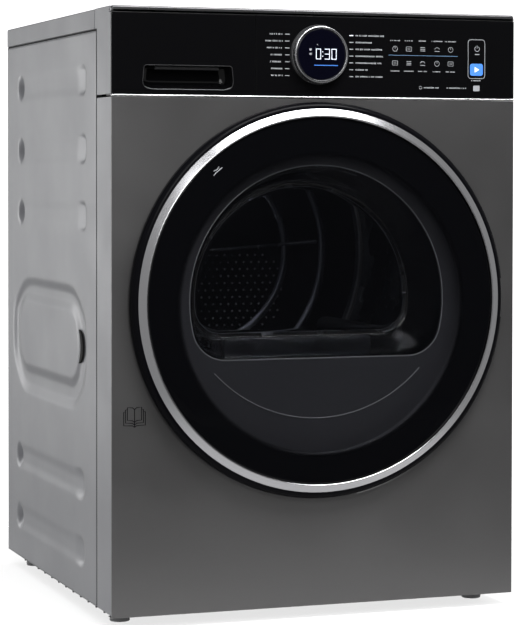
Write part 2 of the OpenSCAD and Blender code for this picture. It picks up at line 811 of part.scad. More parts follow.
base_tray();
side_panel_left();
side_panel_right();
front_pillar_left();
front_pillar_right();
front_panel();
back_panel();
rear_cover();
top_cover();
top_trim();
fascia_housing();
fascia_glass();
silver_trim();
control_board();
knob_display();
front_shield();
mouth_funnel();
filter_housing();
rear_shield();
rear_flange();
drum_felts();
tank_tray();
door_lock();
hinge_bracket();
motor_stator();
blower_housing();
drive_belt();
compressor();
heat_exchangers();
refrigerant_pipes();
condensate_pump();
drain_spigot();
mains_gland();
door_rim();
door_chrome_ring();
door_glass();
door_inner_plate();
door_bowl();
door_seal();
latch_hook();
hinge_pin();
drum_shell();
drum_front_wall();
drum_lifters();
motor_rotor();
blower_wheel();
roller_front_left();
roller_front_right();
roller_back_left();
roller_back_right();
cooling_fan();
knob_ring();
drawer_front();
tank_body();
filter_outer();
filter_inner();
foot_front_left();
foot_front_right();
foot_back_left();
foot_back_right();
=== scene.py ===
"""Looks of a front-loading tumble dryer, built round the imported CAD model.

Lengths are written in millimetres as (x, depth, z): depth is measured back from the front panel's
face. make() turns them into metres in the row frame.
"""
import json
import math
import random

import bmesh
import bpy
from mathutils import Matrix, Vector


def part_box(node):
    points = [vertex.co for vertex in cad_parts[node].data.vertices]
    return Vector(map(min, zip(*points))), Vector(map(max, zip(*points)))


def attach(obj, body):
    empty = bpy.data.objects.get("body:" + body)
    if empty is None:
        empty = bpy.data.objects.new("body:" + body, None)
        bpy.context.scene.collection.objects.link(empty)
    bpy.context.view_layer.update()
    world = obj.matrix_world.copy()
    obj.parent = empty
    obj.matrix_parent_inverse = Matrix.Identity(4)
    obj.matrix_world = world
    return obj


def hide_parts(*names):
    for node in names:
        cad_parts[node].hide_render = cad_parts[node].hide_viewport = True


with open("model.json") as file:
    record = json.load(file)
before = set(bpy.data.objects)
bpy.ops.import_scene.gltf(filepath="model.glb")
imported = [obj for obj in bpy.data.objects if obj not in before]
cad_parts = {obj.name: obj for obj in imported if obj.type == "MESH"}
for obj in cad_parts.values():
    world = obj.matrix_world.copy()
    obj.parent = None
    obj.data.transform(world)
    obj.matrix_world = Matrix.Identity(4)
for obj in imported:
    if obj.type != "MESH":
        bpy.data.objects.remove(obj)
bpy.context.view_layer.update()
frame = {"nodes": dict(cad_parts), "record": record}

MM = 0.001
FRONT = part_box("front_panel")[0].y
SLOT_OF = {part["node"]: part["material_slot"] for part in frame["record"]["subparts"]}


def span(node):
    """A node's ranges in x, depth and z, in millimetres."""
    low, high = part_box(node)
    return (
        (low.x / MM, high.x / MM),
        ((low.y - FRONT) / MM, (high.y - FRONT) / MM),
        (low.z / MM, high.z / MM),
    )


def middle(pair):
    """The middle of a range."""
    return (pair[0] + pair[1]) / 2


HALF_W = span("front_panel")[0][1]
FRONT_BOTTOM, FRONT_TOP = span("front_panel")[2]
PANEL_BOTTOM = span("fascia_glass")[2][0]
DRAWER_RIGHT = span("drawer_front")[0][1]
CABINET_TOP = span("top_cover")[2][1]
BAND_BOTTOM = span("top_cover")[2][0]
SIDE_FRONT, SIDE_BACK = span("side_panel_left")[1]
SIDE_BOTTOM, SIDE_TOP = span("side_panel_left")[2]
DOOR_Z = middle(span("door_glass")[2])
DOOR_R = span("door_rim")[2][1] - DOOR_Z
RIM_PROUD = -span("door_rim")[1][0]
DOOR_GAP = -span("door_rim")[1][1]
KNOB_Z = middle(span("knob_ring")[2])
KNOB_R = span("knob_ring")[2][1] - KNOB_Z
KNOB_PROUD = -span("knob_ring")[1][0]
DRUM_Z = middle(span("drum_shell")[2])
DRUM_R = span("drum_shell")[2][1] - DRUM_Z
DRUM_BACK = span("drum_shell")[1][1]


# ------------------------------------------------------------------ materials

def link(tree, source, target):
    """Connects an output to an input."""
    tree.links.new(source, target)


def new_node(tree, kind, **inputs):
    """A shader node with some of its inputs set."""
    made = tree.nodes.new("ShaderNode" + kind)
    for socket, value in inputs.items():
        made.inputs[socket.replace("_", " ")].default_value = value
    return made


def vector_math(tree, operation, source):
    """A vector operation on a source; a second input, where it has one, is left to the caller."""
    made = new_node(tree, "VectorMath")
    made.operation = operation
    link(tree, source, made.inputs[0])
    return made


def ramp_between(tree, source, target, start, stop, low, high, kind="LINEAR"):
    """Links source to target through a ramp that is low at start and high at stop."""
    ramp = new_node(tree, "MapRange", From_Min=start, From_Max=stop, To_Min=low, To_Max=high)
    ramp.interpolation_type = kind
    link(tree, source, ramp.inputs["Value"])
    link(tree, ramp.outputs["Result"], target)


def look(name, colour, rough, metal=0.0, grain=500.0, bump=0.05, tint=0.05, spread=0.05,
         stretch=(1, 1, 1), patch=9.0, **sockets):
    """A surface with fine grain in its bump and colour, and broad patches in its roughness."""
    mat = bpy.data.materials.new(name)
    mat.use_nodes = True
    tree = mat.node_tree
    shader = tree.nodes["Principled BSDF"]
    coords = new_node(tree, "TexCoord")
    mapping = new_node(tree, "Mapping", Scale=stretch)
    link(tree, coords.outputs["Object"], mapping.inputs["Vector"])
    fine = new_node(tree, "TexNoise", Scale=grain, Detail=3.0)
    link(tree, mapping.outputs["Vector"], fine.inputs["Vector"])
    broad = new_node(tree, "TexNoise", Scale=patch, Detail=4.0)
    link(tree, coords.outputs["Object"], broad.inputs["Vector"])
    mix = tree.nodes.new("ShaderNodeMix")
    mix.data_type = "RGBA"
    mix.inputs["A"].default_value = [c * (1 - tint) for c in colour] + [1.0]
    mix.inputs["B"].default_value = [min(1.0, c * (1 + tint)) for c in colour] + [1.0]
    link(tree, fine.outputs["Fac"], mix.inputs["Factor"])
    link(tree, mix.outputs["Result"], shader.inputs["Base Color"])
    ramp_between(tree, broad.outputs["Fac"], shader.inputs["Roughness"], 0.3, 0.7,
                 max(0.02, rough - spread), min(1.0, rough + spread))
    relief = new_node(tree, "Bump", Strength=bump, Distance=0.0003)
    link(tree, fine.outputs["Fac"], relief.inputs["Height"])
    link(tree, relief.outputs["Normal"], shader.inputs["Normal"])
    shader.inputs["Metallic"].default_value = metal
    for socket, value in sockets.items():
        shader.inputs[socket.replace("_", " ")].default_value = value
    return mat


def radius_about(tree, x, z):
    """A node output with the distance from a depth axis through (x, z), in metres."""
    shift = vector_math(tree, "SUBTRACT", new_node(tree, "TexCoord").outputs["Object"])
    shift.inputs[1].default_value = (x * MM, 0, z * MM)
    flat = vector_math(tree, "MULTIPLY", shift.outputs["Vector"])
    flat.inputs[1].default_value = (1, 0, 1)
    return vector_math(tree, "LENGTH", flat.outputs["Vector"]).outputs["Value"]


def fade_alpha(mat, source, *ramp):
    """Links source to a look's alpha through a ramp."""
    ramp_between(mat.node_tree, source, mat.node_tree.nodes["Principled BSDF"].inputs["Alpha"], *ramp)


WINDOW_EDGE = (0.203, 0.213)
WINDOW_ALPHA = 0.28


def door_pane_look():
    """Dark pane: see-through in the middle, printed black towards its edge."""
    mat = look("door_pane", (0.0026, 0.0027, 0.0034), 0.05, grain=60, bump=0.004, spread=0.02,
               Specular_IOR_Level=0.32)
    fade_alpha(mat, radius_about(mat.node_tree, 0, DOOR_Z - 5), *WINDOW_EDGE, WINDOW_ALPHA, 1.0, "SMOOTHSTEP")
    return mat


def clear_look(name, colour, floor, gain, **more):
    """Clear glass or plastic: more solid where it is seen edge on."""
    mat = look(name, colour, 0.04, grain=40, bump=0.01, spread=0.02, Specular_IOR_Level=0.9, **more)
    facing = new_node(mat.node_tree, "LayerWeight", Blend=0.35)
    fade_alpha(mat, facing.outputs["Facing"], 0.0, 1.0, floor, gain)
    return mat


def lit_look(name, colour, strength):
    """A mark that glows: a lit sign, or print given a painted glow."""
    return look(name, colour, 0.5, bump=0.02, tint=0.04, Emission_Color=(*colour, 1),
                Emission_Strength=strength)


GREY = (0.205, 0.208, 0.224)
LOOKS = {
    "side_enamel": look("side_enamel", GREY, 0.44, 0.1, grain=900, bump=0.06, tint=0.03,
                        Coat_Weight=0.15, Coat_Roughness=0.25),
    "graphite": look("graphite", (0.151, 0.149, 0.150), 0.36, 0.75, grain=2600, bump=0.10, tint=0.16,
                     Coat_Weight=0.2, Coat_Roughness=0.2),
    "galvanised": look("galvanised", (0.48, 0.49, 0.50), 0.45, 0.85, grain=90, bump=0.05, tint=0.12),
    "worktop": look("worktop", GREY, 0.45, 0.05, grain=1300, bump=0.10, tint=0.04),
    "trim_metal": look("trim_metal", (0.13, 0.13, 0.135), 0.28, 0.85, grain=700, bump=0.05, tint=0.08,
                       stretch=(0.05, 1, 1)),
    "gloss_black": look("gloss_black", (0.0035, 0.0035, 0.004), 0.09, grain=70, bump=0.004, spread=0.03,
                        Specular_IOR_Level=0.22),
    "housing_grey": look("housing_grey", GREY, 0.42, 0.1, grain=1000, bump=0.07, tint=0.03),
    "bright_trim": look("bright_trim", (0.78, 0.78, 0.80), 0.22, 1.0, grain=900, bump=0.03, tint=0.03,
                        stretch=(0.1, 1, 1)),
    "dark_plastic": look("dark_plastic", (0.018, 0.018, 0.020), 0.5, grain=1500, bump=0.16, tint=0.1),
    "grey_plastic": look("grey_plastic", (0.10, 0.103, 0.11), 0.36, grain=1200, bump=0.10, tint=0.06),
    "board": look("board", (0.01, 0.09, 0.04), 0.35, grain=300, bump=0.10, tint=0.20),
    "felt": look("felt", (0.16, 0.16, 0.155), 0.95, grain=1400, bump=0.9, tint=0.20),
    "rubber": look("rubber", (0.014, 0.014, 0.015), 0.7, grain=1800, bump=0.25, tint=0.12),
    "door_pane": door_pane_look(),
    "bowl_glass": look("bowl_glass", (0.62, 0.64, 0.70), 0.03, grain=30, bump=0.02, spread=0.01, tint=0.01,
                       Transmission_Weight=1.0, IOR=1.47),
    "drum_steel": look("drum_steel", (0.33, 0.34, 0.36), 0.28, 1.0, grain=500, bump=0.06, tint=0.07,
                       stretch=(1, 0.05, 1)),
    "motor": look("motor", (0.30, 0.22, 0.15), 0.45, 0.6, grain=500, bump=0.15, tint=0.15),
    "steel": look("steel", (0.52, 0.52, 0.54), 0.3, 1.0, grain=800, bump=0.05, tint=0.06),
    "compressor_black": look("compressor_black", (0.015, 0.015, 0.016), 0.3, grain=200, bump=0.10),
    "fins": look("fins", (0.62, 0.63, 0.65), 0.35, 1.0, grain=700, bump=0.08, tint=0.06),
    "copper": look("copper", (0.75, 0.36, 0.18), 0.28, 1.0, grain=150, bump=0.05, tint=0.12),
    "clear_plastic": clear_look("clear_plastic", (0.60, 0.63, 0.66), 0.45, 0.9),
}
# grey print with a weak emission: a painted glow, since print is no lamp
PRINT_GREY_PAINTED_GLOW = lit_look("print_grey_painted_glow", (0.36, 0.37, 0.39), 0.12)
MARK_WHITE = lit_look("mark_white", (0.80, 0.84, 0.92), 0.55)
MARK_LINE = lit_look("mark_line", (0.12, 0.22, 0.36), 0.35)
KEY_BLUE = lit_look("key_blue", (0.05, 0.19, 0.62), 0.7)
FOOT_GREY = look("foot_grey", (0.22, 0.22, 0.225), 0.6, grain=1800, bump=0.2, tint=0.08)
PICTOGRAM = look("pictogram", (0.006, 0.006, 0.007), 0.6, bump=0.05, Specular_IOR_Level=0.1)
INNER_GREY = look("inner_grey", (0.052, 0.053, 0.063), 0.38, grain=1400, bump=0.10, tint=0.05)
DISPLAY = look("display", (0.002, 0.002, 0.006), 0.07, grain=60, bump=0.003, Specular_IOR_Level=0.3)
RING_CHROME = look("ring_chrome", (0.47, 0.47, 0.485), 0.22, 1.0, grain=500, bump=0.03, tint=0.03)
FILTER_MESH = look("filter_mesh", (0.09, 0.10, 0.12), 0.6, grain=900, bump=0.5, tint=0.3)
# galvanised darkened to near black: painted shade for the inside of the closed drum
GALVANISED_PAINTED_SHADE = look("galvanised_painted_shade", (0.030, 0.031, 0.034), 0.34, 0.4, grain=300, bump=0.08, tint=0.1)
RIM_BLACK = look("rim_black", (0.003, 0.003, 0.004), 0.2, grain=80, bump=0.004, Specular_IOR_Level=0.05)
# light grey for edges that catch light: a painted highlight
EDGE_GREY_PAINTED_HIGHLIGHT = look("edge_grey_painted_highlight", (0.30, 0.31, 0.34), 0.16, grain=300, bump=0.02)
# black for studio cards, and for strips and plates put in gaps and openings as painted shade
BLACK_FOR_CARDS_AND_SHADE = look("black_for_cards_and_painted_shade", (0.003, 0.003, 0.003), 0.9, bump=0.1)


# ------------------------------------------------------------------ mesh tools

SHARP_EDGE = 32.0


def placed(name, data):
    """A new object in the scene."""
    obj = bpy.data.objects.new(name, data)
    bpy.context.scene.collection.objects.link(obj)
    return obj


def add(name, mesh, body, slot, surface, stands_for):
    """Links a finished mesh as a piece that rides on a body."""
    mesh.materials.clear()
    mesh.materials.append(surface or LOOKS[slot])
    piece = placed(name, mesh)
    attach(piece, body)
    normals = piece.modifiers.new("normals", "WEIGHTED_NORMAL")
    normals.keep_sharp = True
    normals.weight = 100
    if stands_for:
        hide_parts(*stands_for)
    return piece


def tidy(mesh):
    """Merges doubles, turns the faces outwards and shades smooth except at sharp edges."""
    bm = bmesh.new()
    bm.from_mesh(mesh)
    bmesh.ops.remove_doubles(bm, verts=bm.verts, dist=2e-6)
    bmesh.ops.dissolve_degenerate(bm, edges=bm.edges, dist=1e-7)
    bmesh.ops.recalc_face_normals(bm, faces=bm.faces)
    for face in bm.faces:
        face.smooth = True
    limit = math.radians(SHARP_EDGE)
    for edge in bm.edges:
        edge.smooth = len(edge.link_faces) == 2 and edge.calc_face_angle(math.pi) < limit
    bm.to_mesh(mesh)
    bm.free()


def make(name, shape, slot, surface=None, stands_for=(), body="cabinet"):
    """A piece from a shape: points in millimetres (x, depth, z), and faces."""
    verts, faces = shape
    mesh = bpy.data.meshes.new(name)
    mesh.from_pydata([(x * MM, FRONT + d * MM, z * MM) for x, d, z in verts], [], faces)
    tidy(mesh)
    return add(name, mesh, body, slot, surface, stands_for)


def joined(parts):
    """One list of points and faces out of several."""
    verts, faces = [], []
    for part_verts, part_faces in parts:
        start = len(verts)
        verts += part_verts
        faces += [[i + start for i in face] for face in part_faces]
    return verts, faces


def turns(count):
    """Angles of a full circle in equal steps."""
    return [2 * math.pi * k / count for k in range(count)]


def at_depth(outline, depth):
    """An outline's points at one depth."""
    return [(a, depth, b) for a, b in outline]


def on_side(side, near, far):
    """The range between two distances from the middle plane, on the left (-1) or the right (1)."""
    return sorted((side * near, side * far))


def arc(cx, cy, r, start, stop, steps=8):
    """Points of an arc, with its angles in degrees."""
    turns = [math.radians(start + (stop - start) * i / steps) for i in range(steps + 1)]
    return [(cx + r * math.cos(t), cy + r * math.sin(t)) for t in turns]


def fillet(points, radius, steps=5):
    """A closed outline with its corners rounded; radius is one number or one for each corner."""
    out = []
    count = len(points)
    for i, here in enumerate(points):
        r = radius[i] if isinstance(radius, (list, tuple)) else radius
        p = Vector(here)
        before = (Vector(points[i - 1]) - p)
        after = (Vector(points[(i + 1) % count]) - p)
        half = before.angle(after) / 2
        reach = min(r / max(math.tan(half), 1e-6), before.length * 0.49, after.length * 0.49)
        if r <= 0 or half > 1.55:
            out.append(tuple(p))
            continue
        a, b = p + before.normalized() * reach, p + after.normalized() * reach
        for k in range(steps + 1):
            t = k / steps
            q = a * (1 - t) ** 2 + p * 2 * t * (1 - t) + b * t ** 2
            out.append(tuple(q))
    return out


def box_outline(u, v, radius=0.0, steps=5):
    """A rectangle over the ranges u and v, with round corners."""
    corners = [(u[0], v[0]), (u[1], v[0]), (u[1], v[1]), (u[0], v[1])]
    return fillet(corners, radius, steps) if radius else corners


def lathe(profile, x, z, closed=True, steps=192, sweep=(0.0, 360.0)):
    """Points and faces of a profile of (radius, depth), turned about a depth axis."""
    whole = abs(sweep[1] - sweep[0] - 360.0) < 1e-6
    count = steps if whole else steps + 1
    verts, faces = [], []
    for i in range(count):
        t = math.radians(sweep[0] + (sweep[1] - sweep[0]) * i / steps)
        verts += [(x + r * math.cos(t), d, z + r * math.sin(t)) for r, d in profile]
    size = len(profile)
    rows = size if closed else size - 1
    for i in range(steps):
        a, b = i * size, ((i + 1) % count) * size
        faces += [[a + k, a + (k + 1) % size, b + (k + 1) % size, b + k] for k in range(rows)]
    if not whole and closed:
        faces += [list(range(size)), list(range((count - 1) * size, count * size))]
    return verts, faces


def loft(rings, ends=True):
    """Points and faces through rings that have the same number of points."""
    size = len(rings[0])
    verts = [p for ring in rings for p in ring]
    faces = []
    for i in range(len(rings) - 1):
        a, b = i * size, (i + 1) * size
        faces += [[a + k, a + (k + 1) % size, b + (k + 1) % size, b + k] for k in range(size)]
    if ends:
        faces += [list(range(size)), list(range(len(verts) - size, len(verts)))]
    return verts, faces


AXES = {"y": lambda u, v, t: (u, t, v), "x": lambda u, v, t: (t, u, v), "z": lambda u, v, t: (u, v, t)}


def plate(outline, t, bevel=0.6, holes=(), along="y", rounds=3):
    """Points and faces of a bevelled plate. The outline lies across the axis `along`, which is y for
    depth, x or z, and the plate fills the range t on that axis."""
    curve = bpy.data.curves.new("outline", "CURVE")
    curve.dimensions = "2D"
    curve.fill_mode = "BOTH"
    curve.extrude = (t[1] - t[0]) / 2 - bevel
    curve.bevel_depth = bevel
    curve.bevel_resolution = rounds - 1
    curve.offset = -bevel
    for loop in (outline, *holes):
        spline = curve.splines.new("POLY")
        spline.points.add(len(loop) - 1)
        for point, (u, v) in zip(spline.points, loop):
            point.co = (u, v, 0, 1)
        spline.use_cyclic_u = True
    holder = placed("outline", curve)
    mesh = bpy.data.meshes.new_from_object(holder.evaluated_get(bpy.context.evaluated_depsgraph_get()))
    centre = middle(t)
    verts = [AXES[along](v.co.x, v.co.y, centre + v.co.z) for v in mesh.vertices]
    faces = [list(p.vertices) for p in mesh.polygons]
    bpy.data.objects.remove(holder)
    bpy.data.curves.remove(curve)
    bpy.data.meshes.remove(mesh)
    return verts, faces


def block(x, d, z, radius=1.0, along="y", corner=None):
    """A rounded box over three ranges."""
    u, v, t = {"y": (x, z, d), "x": (d, z, x), "z": (x, d, z)}[along]
    bevel = min(radius, (t[1] - t[0]) * 0.45)
    return plate(box_outline(u, v, corner if corner is not None else radius), t, bevel, along=along)


def tube(points, radius, sides=10, cyclic=False):
    """Points and faces of a round bar swept along points."""
    pts = [Vector(p) for p in points]
    count = len(pts)
    rings = []
    up = None
    for i, p in enumerate(pts):
        before = pts[i - 1] if (i or cyclic) else p
        after = pts[(i + 1) % count] if (i < count - 1 or cyclic) else p
        way = (after - before).normalized()
        if up is None:
            up = way.orthogonal().normalized()
        up = (up - way * up.dot(way)).normalized()
        side = way.cross(up)
        rings.append([tuple(p + (up * math.cos(a) + side * math.sin(a)) * radius) for a in turns(sides)])
    if cyclic:
        rings.append(rings[0])
    return loft(rings, ends=not cyclic)


def dome(x, d, z, r, height, sides=10, rings=3):
    """A small round head that stands out towards the front by `height`."""
    profile = [(r * math.cos(math.pi / 2 * k / rings), d - height * math.sin(math.pi / 2 * k / rings))
               for k in range(rings + 1)]
    return lathe(profile + [(0, d)], x, z, closed=False, steps=sides)


def screw_head(x, d, z, r=4.0, back=False):
    """A pan-head screw with a cross recess; it faces the back if `back` is true."""
    way = -1 if back else 1
    profile = [(0, 0), (r, 0), (r, -0.8), (r * 0.75, -1.6), (r * 0.3, -1.9), (r * 0.3, -0.9), (0, -0.9)]
    return lathe([(a, d + b * way) for a, b in profile], x, z, closed=False, steps=20)


# ------------------------------------------------------------------ cabinet

MOUTH_R = 222


def front_panel():
    """Front sheet with the mouth, its collar, the hook's slot, folded edges and a lip at the lower right."""
    hook = span("latch_hook")
    mouth = arc(0, DOOR_Z, MOUTH_R, 0, 357.5, 143)
    gap = 4
    slot = box_outline((hook[0][0] - gap, hook[0][1] + gap), (hook[2][0] - 6, hook[2][1] + 6), 3)
    sheet = plate(box_outline((-HALF_W, HALF_W), (FRONT_BOTTOM, FRONT_TOP), 1.0),
                  (0, 1.6), 0.7, [mouth[::-1], slot[::-1]])
    parts = [sheet, block((-HALF_W, HALF_W), (1.0, 18), (FRONT_BOTTOM, FRONT_BOTTOM + 1.2), 0.5, "z")]
    for side in (-1, 1):
        x = on_side(side, HALF_W, HALF_W - 1.2)
        parts.append(block(x, (0.6, 2.8), (FRONT_BOTTOM + 1, FRONT_TOP), 0.4, "x"))
    make("front_sheet", joined(parts), "graphite", stands_for=["front_panel"])
    lip = [(DOOR_R + 1.4, 0.2), (DOOR_R + 1.6, -0.3), (DOOR_R + 2.2, -0.55), (DOOR_R + 3.0, -0.4),
           (DOOR_R + 4.2, 0.2)]
    make("front_lip", lathe(lip, 0, DOOR_Z, steps=64, sweep=(-78, 12)), "graphite")
    collar = [(222.2, 0.4), (222.2, 6), (221, 6), (220.6, 0.8), (220.9, 0.1), (221.6, 0.1)]
    make("mouth_collar", lathe(collar, 0, DOOR_Z), "dark_plastic")


def pillars():
    """Side strips of the front frame."""
    for side, name in ((-1, "left"), (1, "right")):
        low, high = span(f"front_pillar_{name}")[2]
        depth = span(f"front_pillar_{name}")[1]
        outer, inner = side * HALF_W, side * (HALF_W - 1.2)
        fold = side * (HALF_W - 19)
        outline = [(outer, depth[0]), (outer, depth[1]), (inner, depth[1]), (inner, depth[0] + 1.2),
                   (fold, depth[0] + 1.2), (fold, depth[0])]
        shape = plate(fillet(outline, [1.0, 0.5, 0.3, 0.5, 0.3, 0.3]), (low, high), 0.3, along="z")
        make(f"pillar_{name}", shape, "side_enamel", stands_for=[f"front_pillar_{name}"])


SEAM_WIDE = 3.9
LINE_HIGH = 2.4


def smooth(value, low, high):
    """0 below low, 1 above high, and a smooth rise between them."""
    t = min(1.0, max(0.0, (value - low) / (high - low)))
    return t * t * (3 - 2 * t)


GROOVES = [((128, 541), z) for z in ((727, 771), (631, 675), (536, 580))]
GROOVES += [((140, 552), z) for z in ((157, 201), (62, 106))]
FIELD = [(195, 462), (505, 462), (577, 415), (577, 330), (515, 278), (187, 278), (129, 330), (129, 415)]


def inside_of(points, d, z, softness=9.0):
    """Distance inside a convex outline given clockwise, with its corners rounded off."""
    total = 0.0
    for i, (ax, az) in enumerate(points):
        bx, bz = points[(i + 1) % len(points)]
        away = ((bx - ax) * (az - z) - (bz - az) * (ax - d)) / math.hypot(bx - ax, bz - az)
        total += math.exp(min(40.0, -away / softness))
    return -softness * math.log(total)


GROOVE_BED = 1.0
GROOVE_STEP = 2.6
GROOVE_PIT = 7.0
GROOVE_LIMIT = 8.0
FIELD_DEPTH = 4.2
PLATEAU_RISE = 3.4
PLATEAU_R = 64
PLATEAU_ENDS = (228, 488)
PLATEAU_Z = 373


def groove_press(d, z):
    """How far the five grooves press the sheet in: shallow, with a pit at the rear end and a step at
    the front end."""
    for (d0, d1), (z0, z1) in GROOVES:
        r = (z1 - z0) / 2
        along = min(max(d, d0 + r), d1 - r)
        away = math.hypot(d - along, z - middle((z0, z1)))
        if away < r:
            bed = GROOVE_BED * smooth(r - away, 0, 16)
            step = GROOVE_STEP * smooth(r - away, 0, 6) * (1 - smooth(d, d0 + 8, d0 + 60))
            pit = GROOVE_PIT * smooth(1 - math.hypot((d - d1 + 20) / 21, (z - middle((z0, z1))) / 22), 0, 0.9)
            return min(GROOVE_LIMIT, bed + step + pit)
    return 0.0


def field_press(d, z):
    """The middle field: a pressed channel round a plateau with round ends."""
    depth = inside_of(FIELD, d, z)
    if depth <= 0:
        return 0.0
    off = math.hypot(d - min(max(d, PLATEAU_ENDS[0]), PLATEAU_ENDS[1]), z - PLATEAU_Z)
    rise = PLATEAU_RISE * smooth(PLATEAU_R - off, 0, 18)
    return FIELD_DEPTH * smooth(depth, 0, 18) - rise * smooth(depth, 0, 18)


def side_panels():
    """Side sheets with pressed grooves, field and folds; black strips in the seam in front and along the top
    are painted shade.
    """
    step = 2.8
    start = SIDE_FRONT + 3.2
    columns = [start, start, start + 0.5, start + 1.6]
    fold = [8.0, 1.6, 0.45, 0.0]
    count = int((SIDE_BACK - start - 2.8) / step)
    columns += [start + 1.6 + (SIDE_BACK - start - 2.8) * k / count for k in range(1, count + 1)]
    fold += [0.0] * count
    columns += [SIDE_BACK - 0.35, SIDE_BACK, SIDE_BACK]
    fold += [0.35, 1.2, 12.0]
    top = SIDE_TOP - 1.8
    rows = int((top - SIDE_BOTTOM) / step)
    heights = [SIDE_BOTTOM + (top - SIDE_BOTTOM) * k / rows for k in range(rows + 1)]
    for side, name in ((-1, "left"), (1, "right")):
        verts = [(side * (HALF_W - f - groove_press(d, z) - field_press(d, z)), d, z)
                 for z in heights for d, f in zip(columns, fold)]
        wide = len(columns)
        faces = [[r * wide + c, r * wide + c + 1, (r + 1) * wide + c + 1, (r + 1) * wide + c]
                 for r in range(rows) for c in range(wide - 1)]
        if side < 0:
            faces = [face[::-1] for face in faces]
        mesh = bpy.data.meshes.new(f"side_sheet_{name}")
        mesh.from_pydata([(x * MM, FRONT + d * MM, z * MM) for x, d, z in verts], [], faces)
        for polygon in mesh.polygons:
            polygon.use_smooth = True
        piece = add(f"side_sheet_{name}", mesh, "cabinet", "side_enamel", None, [f"side_panel_{name}"])
        thick = piece.modifiers.new("thickness", "SOLIDIFY")
        thick.thickness = 1.1 * MM
        thick.offset = -1.0
        side_vent(side, name)
        # black strips of painted shade, in the seam in front and along the top edge
        x = on_side(side, HALF_W - 1.1, HALF_W - 0.25)
        make(f"side_seam_painted_shade_{name}",
             block(x, (SIDE_FRONT - 0.4, SIDE_FRONT + SEAM_WIDE), (SIDE_BOTTOM + 2, SIDE_TOP), 0.2, "x"),
             "side_enamel", BLACK_FOR_CARDS_AND_SHADE)
        make(f"side_line_painted_shade_{name}",
             block(x, (SIDE_FRONT + SEAM_WIDE, SIDE_BACK - 2), (SIDE_TOP - LINE_HIGH, SIDE_TOP - 0.05), 0.2,
                   "x"),
             "side_enamel", BLACK_FOR_CARDS_AND_SHADE)


def side_vent(side, name):
    """Black crescent plate of painted shade that shows as a vent at the front end of the plateau."""
    # the black plate is painted shade for the vent's dark inside
    outer = arc(179, PLATEAU_Z, 24, 92, 268, 14)
    inner = arc(201.8, PLATEAU_Z, 33.8, 225, 135, 14)
    x = on_side(side, HALF_W - 3.6, HALF_W - 0.9)
    make(f"side_vent_{name}", plate(outer + inner, x, 0.3, along="x"), "side_enamel", BLACK_FOR_CARDS_AND_SHADE)


def worktop():
    """Top cover with its deep edge band."""
    cover = span("top_cover")
    make("worktop_slab", block(cover[0], cover[1], (BAND_BOTTOM, CABINET_TOP), 2.2, "z", 4), "worktop",
         stands_for=["top_cover"])


def top_bar():
    """Rounded metal bar on the front edge of the top."""
    x, d, z = span("top_trim")
    shape = plate(box_outline(x, z, [0.3, 0.3, 6, 6], 8), d, 2.6, rounds=5)
    make("top_bar", shape, "trim_metal", stands_for=["top_trim"])


def control_panel():
    """Gloss front and the bright strip under it."""
    x, d, z = span("fascia_glass")
    make("fascia_pane", plate(box_outline(x, z, [0.4, 1.5, 1.5, 0.4]), d, 0.5), "gloss_black",
         stands_for=["fascia_glass"])
    strip = span("silver_trim")
    make("bright_strip", block(strip[0], strip[1], strip[2], 0.9), "bright_trim",
         stands_for=["silver_trim"])


def housing():
    """Cheeks, deck and core of the control panel's carrier."""
    cheek_back = 75
    deck = span("fascia_housing")
    back = deck[1][1]
    for side, name in ((-1, "left"), (1, "right")):
        x = on_side(side, HALF_W, HALF_W - 2)
        outline = [(4.4, PANEL_BOTTOM), (cheek_back, PANEL_BOTTOM), (cheek_back, BAND_BOTTOM + 0.6),
                   (back, BAND_BOTTOM + 0.6), (back, CABINET_TOP), (12.2, CABINET_TOP),
                   (12.2, 836.4), (4.4, 836.4)]
        make(f"cheek_{name}",
             plate(fillet(outline, [0.8, 0.8, 1.5, 0.8, 0.4, 0.4, 0.4, 0.8]), x, 0.5, along="x"),
             "housing_grey", stands_for=["fascia_housing"])
    inner = HALF_W - 1
    make("top_deck", block((-inner, inner), (12.2, back), (CABINET_TOP - 3, CABINET_TOP), 0.5, "z"),
         "housing_grey")
    parts = [block((-inner, inner), (6.7, back - 1), (834.6, 836.4), 0.4, "z"),
             block((-inner, inner), (12.2, 14.2), (836, CABINET_TOP - 1), 0.4),
             block((DRAWER_RIGHT + 0.5, inner), (4.2, 6.7), (PANEL_BOTTOM, 836.4), 0.5),
             block((-inner, inner), (5.2, 30), (PANEL_BOTTOM - 2, PANEL_BOTTOM), 0.4, "z")]
    make("housing_core", joined(parts), "dark_plastic")


